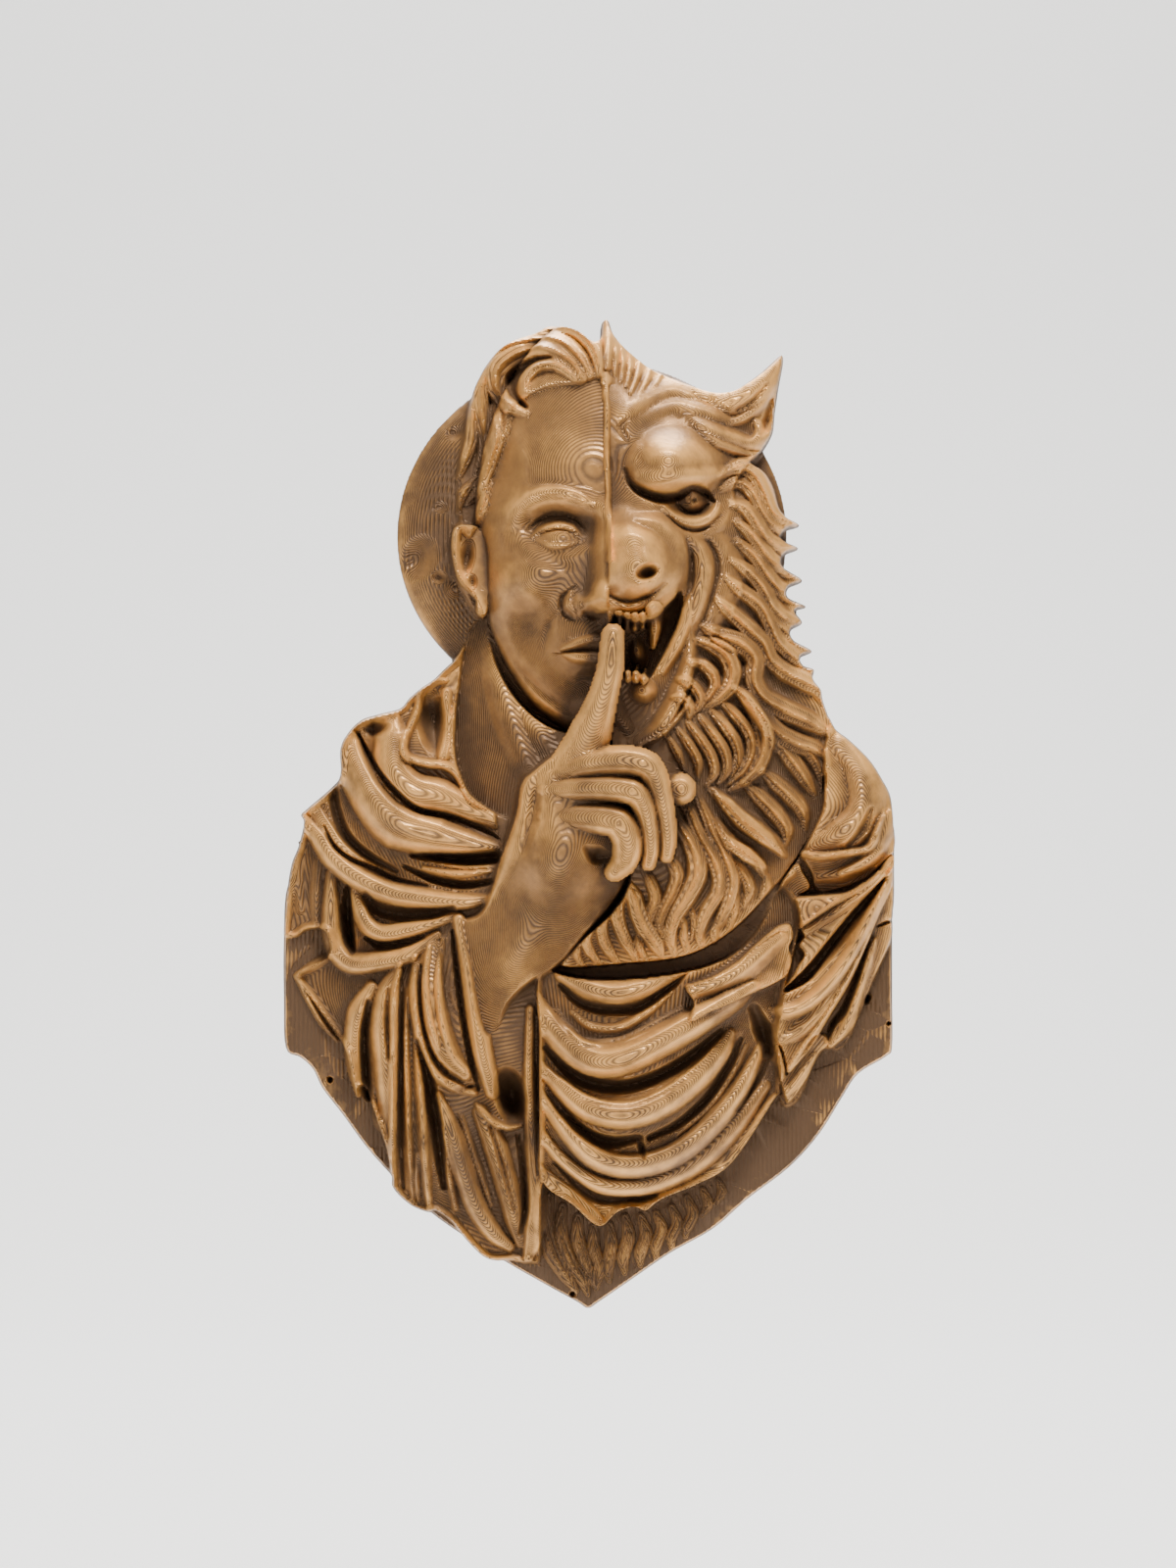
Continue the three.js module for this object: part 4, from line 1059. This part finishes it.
// Facets on the front. The grid is thinned out where it is nearly flat: a point is merged into the
// neighbour that stays nearest to the planes that both have stood for, while no facet turns over.

const gridX = (k) => LEFT_EDGE + (k % SIDE) * CELL;
const gridZ = (k) => BOTTOM_EDGE + Math.floor(k / SIDE) * CELL;

function turnOf(a, b, c) {
  return (gridX(b) - gridX(a)) * (gridZ(c) - gridZ(a)) - (gridX(c) - gridX(a)) * (gridZ(b) - gridZ(a));
}

// The sums that give the squared distance from a point to a facet's plane, weighted by its area
function planeSums([a, b, c]) {
  const p = [a, b, c].map((k) => new THREE.Vector3(gridX(k), -height[k], gridZ(k)));
  const normal = p[1].clone().sub(p[0]).cross(p[2].clone().sub(p[0]));
  const area = normal.length() / 2;
  normal.normalize();
  const plane = [normal.x, normal.y, normal.z, -normal.dot(p[0])];
  return plane.flatMap((left, i) => plane.slice(i).map((right) => area * left * right));
}

function misfit(sums, k) {
  const point = [gridX(k), -height[k], gridZ(k), 1];
  let total = 0;
  let n = 0;
  for (let i = 0; i < 4; i++) {
    for (let j = i; j < 4; j++) total += (i === j ? 1 : 2) * sums[n++] * point[i] * point[j];
  }
  return total;
}

function frontFacets() {
  const facets = [];
  const corner = (i, j) => j * GRID_STEP * SIDE + i * GRID_STEP;
  const squares = CELLS / GRID_STEP;
  for (let j = 0; j < squares; j++) {
    for (let i = 0; i < squares; i++) {
      const [a, b, c, d] = [corner(i, j), corner(i + 1, j), corner(i + 1, j + 1), corner(i, j + 1)];
      facets.push(...((i + j) % 2 ? [[a, b, c], [a, c, d]] : [[a, b, d], [b, c, d]]));
    }
  }
  const around = new Map();
  const sums = new Map();
  facets.forEach((facet) => {
    const plane = planeSums(facet);
    for (const k of facet) {
      if (!around.has(k)) around.set(k, new Set());
      around.get(k).add(facet);
      sums.set(k, (sums.get(k) ?? new Array(10).fill(0)).map((sum, n) => sum + plane[n]));
    }
  });
  const onBorder = (k) => k % SIDE === 0 || k % SIDE === CELLS || k < SIDE || k >= SIDE * CELLS;
  const neighbours = (k) => new Set([...around.get(k)].flat().filter((n) => n !== k));
  const allowed = (k, into) => {
    const shared = [...neighbours(k)].filter((n) => neighbours(into).has(n));
    if (shared.length !== 2) return false;
    return [...around.get(k)].every((facet) => (
      facet.includes(into) || turnOf(...facet.map((n) => (n === k ? into : n))) > SMALLEST_TURN));
  };
  const merge = (k, into) => {
    for (const facet of around.get(k)) {
      if (facet.includes(into)) {
        facet.forEach((n) => n !== k && around.get(n).delete(facet));
        continue;
      }
      facet[facet.indexOf(k)] = into;
      around.get(into).add(facet);
    }
    around.delete(k);
    sums.set(into, sums.get(into).map((sum, n) => sum + sums.get(k)[n]));
  };
  for (let limit = FIRST_MISFIT; limit < LAST_MISFIT; limit *= 2) {
    for (const k of [...around.keys()]) {
      if (onBorder(k)) continue;
      let best = limit;
      let choice = null;
      for (const n of neighbours(k)) {
        const joint = sums.get(k).map((sum, m) => sum + sums.get(n)[m]);
        const error = misfit(joint, n);
        if (error < best && allowed(k, n)) [best, choice] = [error, n];
      }
      if (choice !== null) merge(k, choice);
    }
  }
  return [...new Set([...around.values()].flatMap((set) => [...set]))];
}

// The square block under the front, closed by walls and a flat back
function reliefBlock() {
  const facets = frontFacets();
  const point = (k, front) => [gridX(k), front ? -height[k] : 0, gridZ(k)];
  const centre = [LEFT_EDGE + CELLS * CELL / 2, 0, BOTTOM_EDGE + CELLS * CELL / 2];
  const edges = new Set(facets.flatMap(([a, b, c]) => [`${a} ${b}`, `${b} ${c}`, `${c} ${a}`]));
  const positions = facets.flatMap((facet) => facet.flatMap((k) => point(k, true)));
  for (const edge of edges) {
    const [a, b] = edge.split(' ').map(Number);
    if (edges.has(`${b} ${a}`)) continue;
    positions.push(...point(a, true), ...point(a, false), ...point(b, true));
    positions.push(...point(b, true), ...point(a, false), ...point(b, false));
    positions.push(...point(b, false), ...point(a, false), ...centre);
  }
  const geometry = new THREE.BufferGeometry();
  geometry.setAttribute('position', new THREE.Float32BufferAttribute(positions, 3));
  return toSolid(geometry);
}

const OUTLINES = [
  SHIELD_OUTLINE, LEFT_CLOAK_OUTLINE, RIGHT_CLOAK_OUTLINE, BODY_OUTLINE, MANE_OUTLINE, HEAD_OUTLINE,
  EAR_OUTLINE, WOLF_OUTLINE,
];
const insides = [...OUTLINES, moonOutline()].map(insideField);
spillOver(insides);

const wasm = await Module();
wasm.setup();
const tallest = height.reduce((most, depth) => Math.max(most, depth), 0);
const prismDepth = tallest + 2 * PRISM_MARGIN;
const prisms = OUTLINES.map((outline) => prism(rounded(outline), prismDepth));
const silhouette = prisms.reduce((whole, next) => whole.add(next), prism(moonOutline(), prismDepth));
const cut = reliefBlock().intersect(silhouette).getMesh();

const geometry = new THREE.BufferGeometry();
geometry.setAttribute('position', new THREE.BufferAttribute(cut.vertProperties, 3));
geometry.setIndex(new THREE.BufferAttribute(cut.triVerts, 1));
const carvedWood = new THREE.MeshStandardMaterial({ color: 0x9c6d3c, roughness: 0.5, metalness: 0 });
const relief = new THREE.Mesh(geometry, carvedWood);
relief.name = 'relief';

const model = new THREE.Group();
model.add(relief);

export default model;
